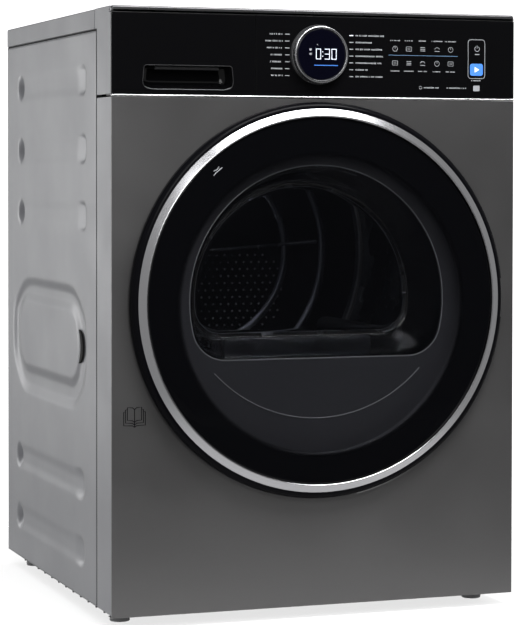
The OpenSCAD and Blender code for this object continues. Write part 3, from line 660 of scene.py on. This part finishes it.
def drawer():
    """Front of the water container, with the finger recess; a grey bar along the recess's lower edge is a
    painted highlight.
    """
    x, _, z = span("drawer_front")
    left, right, low, high, deep = -255, -124, 733, 765.5, 24
    hole = fillet([(left, low), (right, low), (right - 3, high), (left + 3, high)], [12, 12, 5, 5], 8)
    face = plate(box_outline(x, z, [1.5, 0.4, 0.4, 1.5]),
                 (0, 4), 0.5, [hole[::-1]])
    make("drawer_face", face, "gloss_black", stands_for=["drawer_front"], body="tank")

    def shrunk(by, depth):
        pts = fillet([(left + by, low + by), (right - by, low + by), (right - 3 - by, high - by * 0.3),
                      (left + 3 + by, high - by * 0.3)], [12, 12, 5, 5], 8)
        return at_depth(pts, depth)

    well = loft([shrunk(0, 0.6), shrunk(0.5, 2.5), shrunk(2.0, 10), shrunk(5, deep - 4), shrunk(9, deep - 1),
                 shrunk(14, deep)], ends=False)
    bottom = (shrunk(14, deep), [list(range(len(shrunk(14, deep))))])
    make("drawer_well", joined([well, bottom]), "gloss_black", body="tank")
    lip = at_depth(hole, 0.1)
    make("drawer_lip", tube(lip, 0.5, 8, cyclic=True), "dark_plastic", body="tank")
    # grey bar along the recess's lower edge: a painted highlight
    edge = [(left + 4, low + 3), (left + 14, low - 0.2), (right - 14, low - 0.2), (right - 4, low + 3)]
    ledge = at_depth(fillet(edge, [0, 12, 12, 0]), 0.0)
    make("drawer_ledge_painted_highlight", tube(ledge, 0.5, 8), "grey_plastic", body="tank")
    grip = [(left + 20, 9, high - 3), (right - 20, 9, high - 3)]
    make("drawer_grip", tube(grip, 3.0, 14), "dark_plastic", body="tank")
    ribs = [block((x[0] + 14, x[0] + 16), (4, 12), (z[0] + 10, z[1] - 12), 0.5, "x"),
            block((x[1] - 14, x[1] - 12), (4, 12), (z[0] + 10, z[1] - 12), 0.5, "x")]
    make("drawer_ribs", joined(ribs), "dark_plastic", body="tank")


def tank():
    """Clear water container with shallow waists round it."""
    x, d, z = span("tank_body")
    edge = 6

    def ring(by, depth):
        return at_depth(box_outline((x[0] + by, x[1] - by), (z[0] + by, z[1] - by), edge), depth)

    rings = [ring(3, d[0]), ring(0.4, d[0] + 2.5)]
    steps = 7
    for k in range(1, steps):
        at = d[0] + (d[1] - d[0]) * k / steps
        rings += [ring(0.2, at - 4), ring(1.8, at - 2), ring(1.8, at + 2), ring(0.2, at + 4)]
    rings += [ring(0.4, d[1] - 2.5), ring(3, d[1])]
    make("tank_shell", loft(rings), "clear_plastic", stands_for=["tank_body"], body="tank")


def knob():
    """Turning ring and the fixed display in its middle."""
    p = -KNOB_PROUD
    bore = KNOB_R - 3.9
    profile = [(bore, -0.4), (KNOB_R, -0.4), (KNOB_R, -1.8), (KNOB_R - 0.35, -2.2),
               (KNOB_R - 0.6, p + 2.2), (KNOB_R - 0.95, p + 0.7), (KNOB_R - 1.7, p + 0.12), (KNOB_R - 2.6, p),
               (KNOB_R - 3.4, p + 0.25), (bore + 0.05, p + 0.8), (bore, p + 1.6)]
    make("knob_ring_turned", lathe(profile, 0, KNOB_Z, steps=128), "bright_trim", RING_CHROME,
         stands_for=["knob_ring"], body="knob")
    ridges = []
    for k in range(90):
        t = math.radians(4 * k)
        c, s = math.cos(t), math.sin(t)
        r = KNOB_R - 0.45
        ends = [(r * c, -3, KNOB_Z + r * s), ((r - 0.1) * c, p + 3, KNOB_Z + (r - 0.1) * s)]
        ridges.append(tube(ends, 0.34, 6))
    make("knob_ridges", joined(ridges), "bright_trim", RING_CHROME, body="knob")
    face = bore - 0.3
    disc = [(0, p + 1.25), (face - 3, p + 1.2), (face - 1, p + 1.35), (face - 0.2, p + 1.9),
            (face, p + 2.8), (face, 0)]
    make("knob_face", lathe(disc, 0, KNOB_Z, closed=False, steps=96), "gloss_black", DISPLAY,
         stands_for=["knob_display"])
    groove = [(KNOB_R + 0.2, -0.02), (KNOB_R + 0.5, -0.25), (KNOB_R + 1.2, -0.3), (KNOB_R + 1.5, -0.02)]
    make("knob_seat", lathe(groove, 0, KNOB_Z, steps=96), "dark_plastic")


MARK_DEPTH = -0.22
MARK_RANGE = (MARK_DEPTH, 0.05)
DISPLAY_RANGE = (-KNOB_PROUD + 0.95, -KNOB_PROUD + 0.95 + 0.3)
SEGMENTS = {"0": "abcdef", "3": "abgcd"}


def bar(x, z, corner=None, depth=MARK_RANGE):
    """A thin printed bar, on the gloss front unless another range of depth is given."""
    return block(x, depth, z, 0.1, corner=corner)


def curl(turn, width, cyclic=False):
    """A thin printed arc on the gloss front."""
    return tube(at_depth(arc(*turn), MARK_DEPTH + 0.3), width, 6, cyclic=cyclic)


def digit(char, x, z, size):
    """A seven-segment digit whose lower left corner is at (x, z)."""
    w, h, t = size * 0.52, size, size * 0.085
    bars = {"a": ((0, w), (h - t, h)), "g": ((0, w), (h / 2 - t / 2, h / 2 + t / 2)), "d": ((0, w), (0, t)),
            "b": ((w - t, w), (h / 2, h)), "c": ((w - t, w), (0, h / 2)),
            "f": ((0, t), (h / 2, h)), "e": ((0, t), (0, h / 2))}
    parts = []
    for name in SEGMENTS[char]:
        u, v = bars[name]
        parts.append(bar((x + u[0] + 0.15, x + u[1] - 0.15), (z + v[0] + 0.15, z + v[1] - 0.15),
                         depth=DISPLAY_RANGE))
    return parts


def display():
    """Lit time and small marks on the knob's face; the small grey marks are print with a painted glow."""
    lit = [part for char, x in (("0", -8.5), ("3", 4.5), ("0", 14.5))
           for part in digit(char, x, KNOB_Z - 7, 15)]
    lit += [bar((1.1, 2.3), (v, v + 1.3), depth=DISPLAY_RANGE) for v in (KNOB_Z - 3, KNOB_Z + 3)]
    make("display_time", joined(lit), "gloss_black", MARK_WHITE)
    small = [bar((-18, -14.5), (v, v + 3), corner=0.8, depth=DISPLAY_RANGE) for v in (KNOB_Z - 1, KNOB_Z + 5)]
    small.append(bar((-7, -5.6), (KNOB_Z + 13, KNOB_Z + 14.4), depth=DISPLAY_RANGE))
    make("display_signs", joined(small), "gloss_black", PRINT_GREY_PAINTED_GLOW)
    make("display_line", bar((-11, 24), (768, 768.9), depth=DISPLAY_RANGE), "gloss_black", KEY_BLUE)


def frame_of(x, z, depth, width, corner):
    """A thin rounded rectangular outline."""
    outline = at_depth(box_outline(x, z, corner), depth)
    return tube(outline, width / 2, 6, cyclic=True)


def words(x, z, height, rng):
    """A row of small blocks as long as a printed label."""
    start, stop = x
    parts, at = [], start
    while at < stop - 0.8:
        wide = 0.9 + 0.7 * rng.random()
        parts.append(block((at, min(at + wide, stop)), MARK_RANGE, (z - height / 2, z + height / 2), 0.08))
        at += wide + (1.9 if rng.random() < 0.14 else 0.55)
    return parts


def panel_marks():
    """Generic printed marks and key signs on the gloss front; the grey print has a painted glow."""
    rows = [811 - 9.5 * k for k in range(7)]
    rng = random.Random(7)
    grey, white = [], []
    for k, z in enumerate(rows):
        grey.append(bar((-50, -43.5), (z - 0.6, z + 0.6)))
        grey += words((-68.5 - 12 * rng.random(), -53.5), z, 2.0, rng)
        (white if k == 0 else grey).append(bar((45, 51), (z - 0.6, z + 0.6)))
        grey += words((54.5, 72.5 + 26 * rng.random()), z, 2.0, rng)
    for column, x in enumerate((114, 135, 156, 178, 199)):
        for z, label in ((794, 805.5), (774, 762.8)):
            kind = (column + (z < 780)) % 4
            if kind == 0:
                grey.append(curl((x, z, 3.6, 0, 345, 23), 0.4, cyclic=True))
                grey.append(bar((x - 0.4, x + 0.4), (z, z + 2.6)))
            elif kind == 1:
                grey.append(frame_of((x - 4, x + 4), (z - 3, z + 3), MARK_DEPTH + 0.3, 0.8, 1))
                grey.append(bar((x - 2.4, x + 2.4), (z - 0.4, z + 0.4)))
            elif kind == 2:
                grey += [bar((x - 3.6, x + 3.6), (z + s - 0.45, z + s + 0.45)) for s in (-2.4, 0, 2.4)]
            else:
                grey.append(curl((x, z - 1.2, 3.8, 20, 160, 10), 0.4))
                grey.append(bar((x - 3.8, x + 3.8), (z - 3, z - 2.2)))
            half = 5.5 + 4 * rng.random()
            grey += words((x - half, x + half), label, 1.5, rng)
    grey.append(frame_of((226, 252), (754, 809), MARK_DEPTH + 0.35, 1.0, 5))
    grey.append(curl((240, 796, 3.6, 120, 420, 20), 0.45))
    grey.append(bar((239.6, 240.4), (796.5, 801)))
    grey.append(bar((236.5, 243.5), (787.5, 788.9)))
    grey += words((231, 247), 751, 1.5, rng)
    grey.append(bar((234, 244), (736, 744), corner=1.6))
    grey += words((158, 182), 740, 1.8, rng) + words((193, 224), 740, 1.8, rng)
    grey.append(curl((153, 740, 2.0, 0, 340, 17), 0.35, cyclic=True))
    make("panel_print", joined(grey), "gloss_black", PRINT_GREY_PAINTED_GLOW)
    make("panel_lit_mark", joined(white), "gloss_black", MARK_WHITE)
    make("panel_line", bar((104, 210), (784.6, 785.2)), "gloss_black", MARK_LINE)
    make("start_key", block((229, 249), MARK_RANGE, (758, 775), 0.12, corner=4), "gloss_black",
         KEY_BLUE)
    play = [(236.2, 762.5), (243.4, 766.5), (236.2, 770.5)]
    make("start_sign", plate(play, (MARK_DEPTH - 0.2, MARK_DEPTH + 0.1), 0.1), "gloss_black", MARK_WHITE)


def pictogram():
    """Generic booklet sign low on the front panel."""
    def stroke(points):
        return tube(at_depth(points, 0.1), 0.65, 6)

    middle_x = -265.5
    lines = [
        [(0, 282), (3, 284.5), (10, 285), (10, 302.5), (3, 302), (0, 299.5)],
        [(10, 299.5), (12.6, 299.5), (12.6, 281.5), (3, 281), (0, 278.5)],
        [(12.6, 296.5), (15.2, 296.5), (15.2, 278), (3, 277.6), (0, 275.5)],
    ]
    parts = [stroke([(middle_x + way * u, v) for u, v in line]) for way in (-1, 1) for line in lines]
    parts.append(stroke([(middle_x, 275.5), (middle_x, 299.5)]))
    make("booklet_sign", joined(parts), "graphite", PICTOGRAM)


# ------------------------------------------------------------------ door

def d_outline(r, drop, corner, steps=96):
    """Outline of a circle with a flat bottom at `drop` below its centre and round lower corners."""
    mid = math.sqrt((r - corner) ** 2 - (drop - corner) ** 2)
    turn = math.degrees(math.atan2(corner - drop, mid))
    pts = arc(0, 0, r, turn, 180 - turn, steps)
    pts += arc(-mid, corner - drop, corner, 180 - turn, 270, 12)[1:]
    pts += arc(mid, corner - drop, corner, -90, turn, 12)[:-1]
    return [(u, v + DOOR_Z) for u, v in pts]


HINGE_X = 266
HINGE_D = -12
HINGE_HALF = 27
SIGN_D = -21.2


def door():
    """Rim, bright ring, pane, inner plate, bowl, seal and opening sign; the plate's bead and the bowl's lip
    and foot are light grey as painted highlights.
    """
    round_r = 9
    rim = [(244.2, -DOOR_GAP), (266, -DOOR_GAP), (268, -2.9), (274.4, -5.2), (275, -5.8),
           (275, -RIM_PROUD + round_r)]
    rim += [(266 + r, -RIM_PROUD + round_r - p) for r, p in arc(0, 0, round_r, 0, 90, 10)][1:]
    rim += [(254.4, -RIM_PROUD), (244.2, -RIM_PROUD)]
    gap = math.degrees(math.asin(HINGE_HALF / HINGE_X))
    make("rim_turned", lathe(rim, 0, DOOR_Z, steps=224, sweep=(gap, 360 - gap)), "gloss_black", RIM_BLACK,
         stands_for=["door_rim"], body="door")
    front_only = [(254.4, -17), (266, -17.05), (268.2, -16.75), (270.2, -15.9)]
    front_only += [(266 + r, -RIM_PROUD + round_r - p) for r, p in arc(0, 0, round_r - 0.02, 55, 90, 6)]
    front_only.append((254.4, -RIM_PROUD))
    make("rim_bridge", lathe(front_only, 0, DOOR_Z, steps=16, sweep=(-gap, gap)), "gloss_black", RIM_BLACK,
         body="door")
    chrome = [(254.25, -18.05), (265.5, -18.05), (265.4, -18.5), (264.9, -18.95), (256.4, -23.55),
              (255.6, -23.92),
              (254.9, -23.9), (254.4, -23.5), (254.25, -22.8)]
    make("chrome_turned", lathe(chrome, 0, DOOR_Z, steps=256), "bright_trim", RING_CHROME,
         stands_for=["door_chrome_ring"], body="door")
    pane = [(0, -21), (120, -21), (240, -21), (251.6, -20.95), (253.0, -20.6), (253.7, -19.8), (253.8, -19),
            (253.8, -18.1), (0, -18.1)]
    make("pane_turned", lathe(pane, 0, DOOR_Z, closed=False, steps=192), "door_pane",
         stands_for=["door_glass"], body="door")
    ring = [(214.5, -0.2), (212.3, -0.1), (214.8, -4.6), (215.6, -5), (243.2, -5), (243.8, -4.4),
            (243.8, -2.4),
            (218.4, -2.2), (216, 2.4), (214.5, 2.8)]
    make("plate_ring", lathe(ring, 0, DOOR_Z, steps=192), "dark_plastic", INNER_GREY,
         stands_for=["door_inner_plate"], body="door")
    hole = d_outline(186.5, 79.5, 46.5)
    centre = plate(arc(0, DOOR_Z, 214.6, 0, 358, 179), (0, 3), 0.5, [hole[::-1]])
    make("plate_centre", centre, "dark_plastic", INNER_GREY, body="door")
    # the bead is a real ridge; its light grey is a painted highlight
    bead = at_depth(arc(0, DOOR_Z + 44, 208, 223, 317, 60), -0.1)
    make("plate_bead_painted_highlight", tube(bead, 0.8, 8), "dark_plastic", EDGE_GREY_PAINTED_HIGHLIGHT, body="door")
    outer = [(190, 83, 50, 1.2), (190, 83, 50, 3), (187, 80, 49, 6), (181, 74, 47, 22), (172, 64, 43, 55),
             (167, 58, 41, 70), (163, 54, 40, 75), (157, 48, 38, 77)]
    inner = [(153, 44, 36, 73), (163, 54, 38, 67), (177, 70, 44, 22), (183, 76, 46, 5), (186, 79, 47, 1.2)]
    rings = [at_depth(d_outline(*size[:3]), size[3]) for size in inner + outer]
    make("bowl_shell", loft(rings), "bowl_glass", stands_for=["door_bowl"], body="door")
    # the bowl's glass lip and foot are drawn as light grey tubes: painted highlights
    lip = at_depth(d_outline(187.6, 80.6, 48), 0.4)
    make("bowl_lip_painted_highlight", tube(lip, 0.9, 8, cyclic=True), "bowl_glass", EDGE_GREY_PAINTED_HIGHLIGHT, body="door")
    foot = at_depth(d_outline(158, 49, 38.5), 76.4)
    make("bowl_foot_painted_highlight", tube(foot, 0.5, 8, cyclic=True), "bowl_glass", EDGE_GREY_PAINTED_HIGHLIGHT, body="door")
    seal = [(226, -0.5), (238, -0.5), (236.5, -1.2), (236, -2.1), (228, -2.1), (227.5, -1.2)]
    make("seal_turned", lathe(seal, 0, DOOR_Z, steps=128, sweep=(gap + 2, 358 - gap)), "rubber",
         stands_for=["door_seal"], body="door")
    mark = [tube([(-160, SIGN_D, 616), (-157, SIGN_D, 619.5), (-148, SIGN_D, 627)], 0.7, 6),
            tube([(-160, SIGN_D, 622), (-155, SIGN_D, 624), (-153, SIGN_D, 628)], 0.7, 6)]
    # the opening sign is print on the pane with a painted glow
    make("open_sign", joined(mark), "door_pane", PRINT_GREY_PAINTED_GLOW, body="door")


def hinge():
    """Leaf on the front panel with its screws, the arm and the knuckles."""
    z0 = DOOR_Z
    make("hinge_leaf", block((229, 262), (-1.6, -0.1), (z0 - 25, z0 + 25), 0.5, corner=3), "steel",
         stands_for=["hinge_bracket"])
    knuckle = []
    for low, high in ((-24.6, -9), (-8, 8), (9, 24.6)):
        rings = [[(HINGE_X + r * math.cos(a), HINGE_D + r * math.sin(a), z0 + h)
                  for a in turns(28)]
                 for r, h in ((4.2, low), (4.7, low + 0.5), (4.7, high - 0.5), (4.2, high))]
        knuckle.append(loft(rings))
    arm = [(246.5, -1.4), (256, -1.4), (263.8, -8.6), (266, -12), (262.8, -14)]
    knuckle.append(plate(fillet(arm, 0.8), (z0 - 23, z0 + 23), 0.4, along="z"))
    make("hinge_knuckles", joined(knuckle), "steel")
    screws = [screw_head(x, -1.6, z0 + v, 3.6) for x in (236, 250) for v in (-16, 16)]
    make("hinge_screws", joined(screws), "steel")


# ------------------------------------------------------------------ drum

def drum():
    """Rolled wall with rows of raised dimples, front wall, and lifters."""
    t = 1.2
    shell = [(DRUM_R, 108.4), (DRUM_R, 553), (DRUM_R - 0.3, DRUM_BACK), (DRUM_R - t, DRUM_BACK),
             (DRUM_R - t, 552)]
    for depth in (524, 517, 510, 334, 327, 320):
        shell.append((DRUM_R - t - (0.9 if depth in (517, 327) else 0), depth))
    shell.append((DRUM_R - t, 108.4))
    make("drum_wall", lathe(shell, 0, DRUM_Z, steps=192), "drum_steel", stands_for=["drum_shell"],
         body="drum")
    lip = 240
    front = [(lip, 100.2), (lip + t, 100.2), (lip + t, 106.2), (lip + 2, 107), (DRUM_R - 1, 107),
             (DRUM_R, 108),
             (DRUM_R - 1, 108.2), (lip + 0.6, 108.2), (lip, 107.4)]
    make("drum_mouth", lathe(front, 0, DRUM_Z, steps=192), "drum_steel", stands_for=["drum_front_wall"],
         body="drum")
    dots = []
    for k in range(120):
        if k % 40 < 4 or k % 40 > 36:
            continue
        a = math.radians(90 + 3 * k)
        for row in range(13):
            depth = 140 + 30 * row + (15 if k % 2 else 0)
            if depth > 520:
                continue
            r = DRUM_R - t
            centre = Vector((r * math.cos(a), depth, r * math.sin(a)))
            inward = Vector((-math.cos(a), 0, -math.sin(a)))
            side = Vector((-math.sin(a), 0, math.cos(a)))
            rings = []
            for size, lift in ((2.9, 0.0), (2.2, 0.9), (1.1, 1.25)):
                rings.append([tuple(centre + inward * lift + side * (size * math.cos(w))
                                    + Vector((0, size * math.sin(w), 0)) + Vector((0, 0, DRUM_Z)))
                              for w in turns(8)])
            dots.append(loft(rings))
    make("drum_dimples", joined(dots), "drum_steel", body="drum")
    lifters = []
    for a in (0, 120, 240):
        base = [(28, 279.9), (-28, 279.9), (-26.5, 274), (-15, 240)]
        base += arc(0, 242, 14, 188, 352, 12) + [(15, 240), (26.5, 274)]
        t0 = math.radians(a)
        turned = [(u * math.cos(t0) + v * math.sin(t0), v * math.cos(t0) - u * math.sin(t0) + DRUM_Z) for u,
                  v in base]
        lifters.append(plate(turned, (132.5, 533.5), 2.0, rounds=3))
    make("lifters_moulded", joined(lifters), "grey_plastic", stands_for=["drum_lifters"], body="drum")


def rear_wall():
    """Wall behind the drum, its galvanised sheet darkened as painted shade, with beads, arms, a fine
    perforation and the rear rollers' axles.
    """
    x, d, z = span("rear_shield")
    sheet = plate(box_outline(x, z, 8), (d[1] - 2, d[1]), 0.4)
    # the sheet takes the darkened galvanised as painted shade
    make("rear_sheet", sheet, "galvanised", GALVANISED_PAINTED_SHADE, stands_for=["rear_shield"])
    face = d[1] - 2
    ring, studs = [], []
    for r in (150, 215):
        ring.append(lathe([(r - 6, face + 0.2), (r - 4, face - 1.4), (r - 1.5, face - 2.6),
                           (r + 1.5, face - 2.6),
                           (r + 4, face - 1.4), (r + 6, face + 0.2)], 0, DRUM_Z, steps=96))
    for row in range(-6, 7):
        for column in range(-7, 8):
            u, v = 13 * (column + 0.5 * (row % 2)), 11.3 * row
            if math.hypot(u, v) < 80:
                studs.append(dome(66 + u, face, 429 + v, 1.7, 1.0, 8))
    for a in (4, 124, 244):
        c, t = math.cos(math.radians(a)), math.sin(math.radians(a))
        arm = [(u * c, face - 0.6, DRUM_Z + u * t) for u in (20, 60, 100, 150, 205)]
        ring.append(tube(arm, 3.2, 12))
    make("rear_beads", joined(ring), "galvanised", LOOKS["drum_steel"])
    make("rear_perforation", joined(studs), "galvanised", LOOKS["steel"])
    axles = []
    for side in (-1, 1):
        x_mid = side * middle((abs(span("roller_back_left")[0][0]), abs(span("roller_back_left")[0][1])))
        z_mid = middle(span("roller_back_left")[2])
        axle = [(4, face), (4, d[0] + 0.8), (3.2, d[0]), (0, d[0])]
        axles.append(lathe(axle, x_mid, z_mid, closed=False, steps=32))
    make("rear_axles", joined(axles), "galvanised", LOOKS["steel"])


def mouth():
    """Funnel between the front panel and the drum, with its lamp's lens."""
    funnel = [(218, 2.4), (230, 2.4), (230, 4), (219.6, 4.2), (181, 78), (181, 98.8), (178, 98.8), (178, 78)]
    make("funnel_turned", lathe(funnel, 0, DOOR_Z, steps=160), "dark_plastic", stands_for=["mouth_funnel"])
    rings = []
    for size, lift in ((20, 0.0), (18.5, 1.2), (12, 2.0)):
        rings.append([(58 + size * math.cos(w), 52 + 0.55 * size * math.sin(w),
                       DOOR_Z + math.sqrt(max(0, (191.5 - lift) ** 2 - (58 + size * math.cos(w)) ** 2)))
                      for w in turns(24)])
    make("lamp_lens", loft(rings), "clear_plastic")


# ------------------------------------------------------------------ back, base and feet

def back():
    """Back sheet with its stamped duct cover, vents and screws."""
    x, d, z = span("back_panel")
    mouth_hole = arc(0, DRUM_Z, 206, 0, 357.5, 143)
    sheet = plate(box_outline(x, z, 4), d, 0.3, [mouth_hole[::-1]])
    parts = [sheet]
    for side in (-1, 1):
        for row in range(6):
            level = 120 + 15 * row
            parts.append(block(on_side(side, 120, 190), (d[1] - 0.2, d[1] + 2.2), (level, level + 5), 1.0,
                               corner=2.4))
    make("back_sheet", joined(parts), "galvanised", stands_for=["back_panel"])
    deep = span("rear_cover")[1][1]
    face = d[1]
    cover = [(0, deep - 1.2), (60, deep - 1.2), (64, deep - 3), (78, deep - 3), (82, deep - 0.4),
             (140, deep - 0.4), (144, deep - 2.4), (160, deep - 2.4), (164, deep), (193, deep),
             (197, deep - 0.9), (205, face + 3.2), (208, face + 2.8), (228, face + 2.8),
             (229.6, face + 1.8), (230, face + 0.2), (206, face + 0.2), (195, deep - 2), (0, deep - 3.4)]
    make("duct_cover", lathe(cover, 0, DRUM_Z, closed=False, steps=160), "galvanised",
         stands_for=["rear_cover"])
    screws = [screw_head(u, face + 2.8, v, 4, True) for u, v in arc(0, DRUM_Z, 218, 15, 330, 7)]
    screws += [screw_head(s * 283, face, v, 4, True) for s in (-1, 1) for v in (90, 250, 410, 570, 730, 800)]
    make("back_screws", joined(screws), "steel")


def feet():
    """Adjustable feet: round pad, hexagon and threaded stud."""
    for node, body in (("foot_front_left", "foot_fl"), ("foot_front_right", "foot_fr"),
                       ("foot_back_left", "foot_bl"), ("foot_back_right", "foot_br")):
        x, d, _ = span(node)
        cx, cd = middle(x), middle(d)

        def circle(r, level, n=36):
            return [(cx + r * math.cos(a), cd + r * math.sin(a), level) for a in turns(n)]

        pad = [circle(12.6, 0), circle(13.6, 0.6), circle(14, 1.6), circle(14, 4.6), circle(13.5, 6.4),
               circle(12.4, 7)]
        hexagon = [circle(9.6, 7, 6), circle(10.2, 7.6, 6), circle(10.2, 13.2, 6), circle(9.6, 13.8, 6)]
        make(f"{node}_pad", joined([loft(pad), loft(hexagon)]), "rubber", FOOT_GREY, stands_for=[node],
             body=body)
        thread = [circle(5 if k % 2 else 4.4, 13.8 + 0.75 * k, 24) for k in range(40)]
        make(f"{node}_stud", loft(thread), "rubber", LOOKS["steel"], body=body)


def filters():
    """Fluff filters: a rounded frame with stiffening bars over a fine woven insert."""
    for node, body in (("filter_outer", "outer_filter"), ("filter_inner", "inner_filter")):
        x, d, z = span(node)
        frames, insert, thin = [], [], 0.5
        for depth, way in ((d[0], 1), (d[1], -1)):
            t = sorted((depth, depth + way * 1.4))
            hole = box_outline((x[0] + 8, x[1] - 8), (z[0] + 8, z[1] - 14), 7)
            frames.append(plate(box_outline(x, z, 6), t, 0.3, [hole[::-1]]))
            frames += [block((u - 1.2, u + 1.2), t, (z[0] + 6, z[1] - 12), 0.3)
                       for u in (-68, -34, 0, 34, 68)]
            frames += [block((x[0] + 6, x[1] - 6), t, (v - 1.2, v + 1.2), 0.3)
                       for v in (z[0] + 45, z[0] + 88)]
            t = sorted((depth + way * 0.7, depth + way * 1.1))
            insert.append(plate(box_outline((x[0] + 5, x[1] - 5), (z[0] + 5, z[1] - 10), 4), t, 0.1))
        for u in (x[0], x[1] - 1.4):
            frames.append(block((u, u + 1.4), d, (z[0], z[1] - 4), thin, "x"))
        frames.append(block(x, d, (z[0], z[0] + 1.4), thin, "z"))
        make(f"{node}_frame", joined(frames), "grey_plastic", stands_for=[node], body=body)
        make(f"{node}_insert", joined(insert), "grey_plastic", FILTER_MESH, body=body)


# ------------------------------------------------------------------ stage, light and camera

FLOOR_R = 14
FLOOR_Z = -0.0005


def stage():
    """Pale floor that fades into the white background."""
    mesh = bpy.data.meshes.new("floor")
    ring = [(FLOOR_R * math.cos(a), FLOOR_R * math.sin(a), FLOOR_Z) for a in turns(64)]
    mesh.from_pydata(ring, [], [list(range(64))])
    floor = placed("floor", mesh)
    mat = look("floor_pale", (0.86, 0.86, 0.86), 0.9, grain=200, bump=0.0, tint=0.003,
               Specular_IOR_Level=0.0, Emission_Color=(1, 1, 1, 1), Emission_Strength=0.2)
    tree = mat.node_tree
    length = vector_math(tree, "LENGTH", new_node(tree, "TexCoord").outputs["Object"])
    fade_alpha(mat, length.outputs["Value"], 0.42, 0.95, 0.55, 0.0, "SMOOTHSTEP")
    mesh.materials.append(mat)


def aim(obj, target):
    """Points a lamp at a target."""
    obj.rotation_euler = (Vector(target) - obj.location).to_track_quat("-Z", "Y").to_euler()


def lamp(name, place, target, size, power):
    """A white rectangular lamp, with its power in watts, pointed at a target."""
    data = bpy.data.lights.new(name, "AREA")
    data.shape = "RECTANGLE"
    data.size, data.size_y = size
    data.energy = power
    obj = placed(name, data)
    obj.location = place
    aim(obj, target)


def card(name, corners, surface, only_camera=False):
    """A studio card. Only the camera sees a white one; a black one is seen by all but the camera."""
    mesh = bpy.data.meshes.new(name)
    mesh.from_pydata(corners, [], [[k, (k + 1) % 4, (k + 1) % 4 + 4, k + 4] for k in range(4)]
                     if len(corners) == 8 else [[0, 1, 2, 3]])
    obj = placed(name, mesh)
    mesh.materials.append(surface)
    obj.visible_camera = only_camera
    obj.visible_diffuse = obj.visible_glossy = obj.visible_transmission = not only_camera
    obj.visible_shadow = False


def light():
    """White surroundings, five lamps, black cards in the reflections and a white backdrop."""
    world = bpy.data.worlds.new("studio")
    bpy.context.scene.world = world
    world.use_nodes = True
    back = world.node_tree.nodes["Background"]
    back.inputs["Color"].default_value = (1, 1, 1, 1)
    back.inputs["Strength"].default_value = 0.4
    lamp("key", (-1.0, -3.7, 2.3), (0, -0.1, 0.45), (1.6, 1.6), 46)
    lamp("side", (-2.35, 3.4, 0.6), (-0.3, 0.0, 0.4), (0.9, 1.6), 30)
    lamp("top", (0.35, -1.4, 2.5), (0, -0.3, 0.6), (1.8, 0.8), 64)
    lamp("drum_glow", (0.05, FRONT + 0.13, 0.72), (-0.05, 0.2, 0.45), (0.03, 0.03), 0.2)
    lamp("fill", (2.6, 1.6, 1.8), (0.2, 0.1, 0.4), (1.6, 1.6), 38)
    card("card_front", [(0.1, -3.1, -0.3), (2.3, -2.6, -0.3), (2.3, -2.6, 2.0), (0.1, -3.1, 2.0)], BLACK_FOR_CARDS_AND_SHADE)
    card("card_floor", [(-0.3, -1.3, 0.004), (1.2, -1.3, 0.004), (2.4, -2.8, 0.004), (0.0, -3.2, 0.004)],
         BLACK_FOR_CARDS_AND_SHADE)
    card("card_low", [(-0.5, -0.95, 0.02), (0.45, -0.95, 0.02), (0.45, -0.95, 0.2), (-0.5, -0.95, 0.2)],
         BLACK_FOR_CARDS_AND_SHADE)
    r = 11.0
    white = lit_look("backdrop_white", (1, 1, 1), 1.0)
    white.node_tree.nodes["Principled BSDF"].inputs["Specular IOR Level"].default_value = 0.0
    base = [(-r, -r), (r, -r), (r, r), (-r, r)]
    card("backdrop", [(x, y, -4) for x, y in base] + [(x, y, 9) for x, y in base], white, only_camera=True)
    card("backdrop_low", [(x, y, -4) for x, y in base], white, only_camera=True)
    card("backdrop_high", [(x, y, 9) for x, y in base], white, only_camera=True)


CAMERA_PLACE = (-1.1516, -3.0657 + FRONT, 0.6248)
CAMERA_YAW, CAMERA_PITCH, CAMERA_ROLL = -0.353564, -0.0273128, -0.00171865
CAMERA_LENS = 135.87552
CAMERA_SHIFT = (-0.07048, -0.126064)


def camera():
    """Camera at the viewing angle that the object is shown from."""
    data = bpy.data.cameras.new("camera")
    obj = placed("camera", data)
    turn = (Matrix.Rotation(CAMERA_YAW, 3, "Z") @ Matrix.Rotation(CAMERA_PITCH, 3, "X")
            @ Matrix.Rotation(CAMERA_ROLL, 3, "Y"))
    right, ahead, up = turn.col
    obj.matrix_world = Matrix.Translation(CAMERA_PLACE) @ Matrix(
        (right, up, -ahead)).transposed().to_4x4()
    data.sensor_width = 36
    data.lens = CAMERA_LENS
    data.shift_x, data.shift_y = CAMERA_SHIFT
    data.clip_end = 100
    bpy.context.scene.camera = obj
    bpy.context.scene.view_settings.view_transform = "Standard"
    bpy.context.scene.view_settings.look = "None"


# ------------------------------------------------------------------ all of it

camera()
light()
stage()
for node, obj in frame["nodes"].items():
    for slot in obj.material_slots:
        slot.material = LOOKS[SLOT_OF[node]]

front_panel()
pillars()
side_panels()
worktop()
top_bar()
control_panel()
housing()
drawer()
tank()
knob()
display()
panel_marks()
pictogram()
door()
hinge()
drum()
rear_wall()
mouth()
back()
feet()
filters()
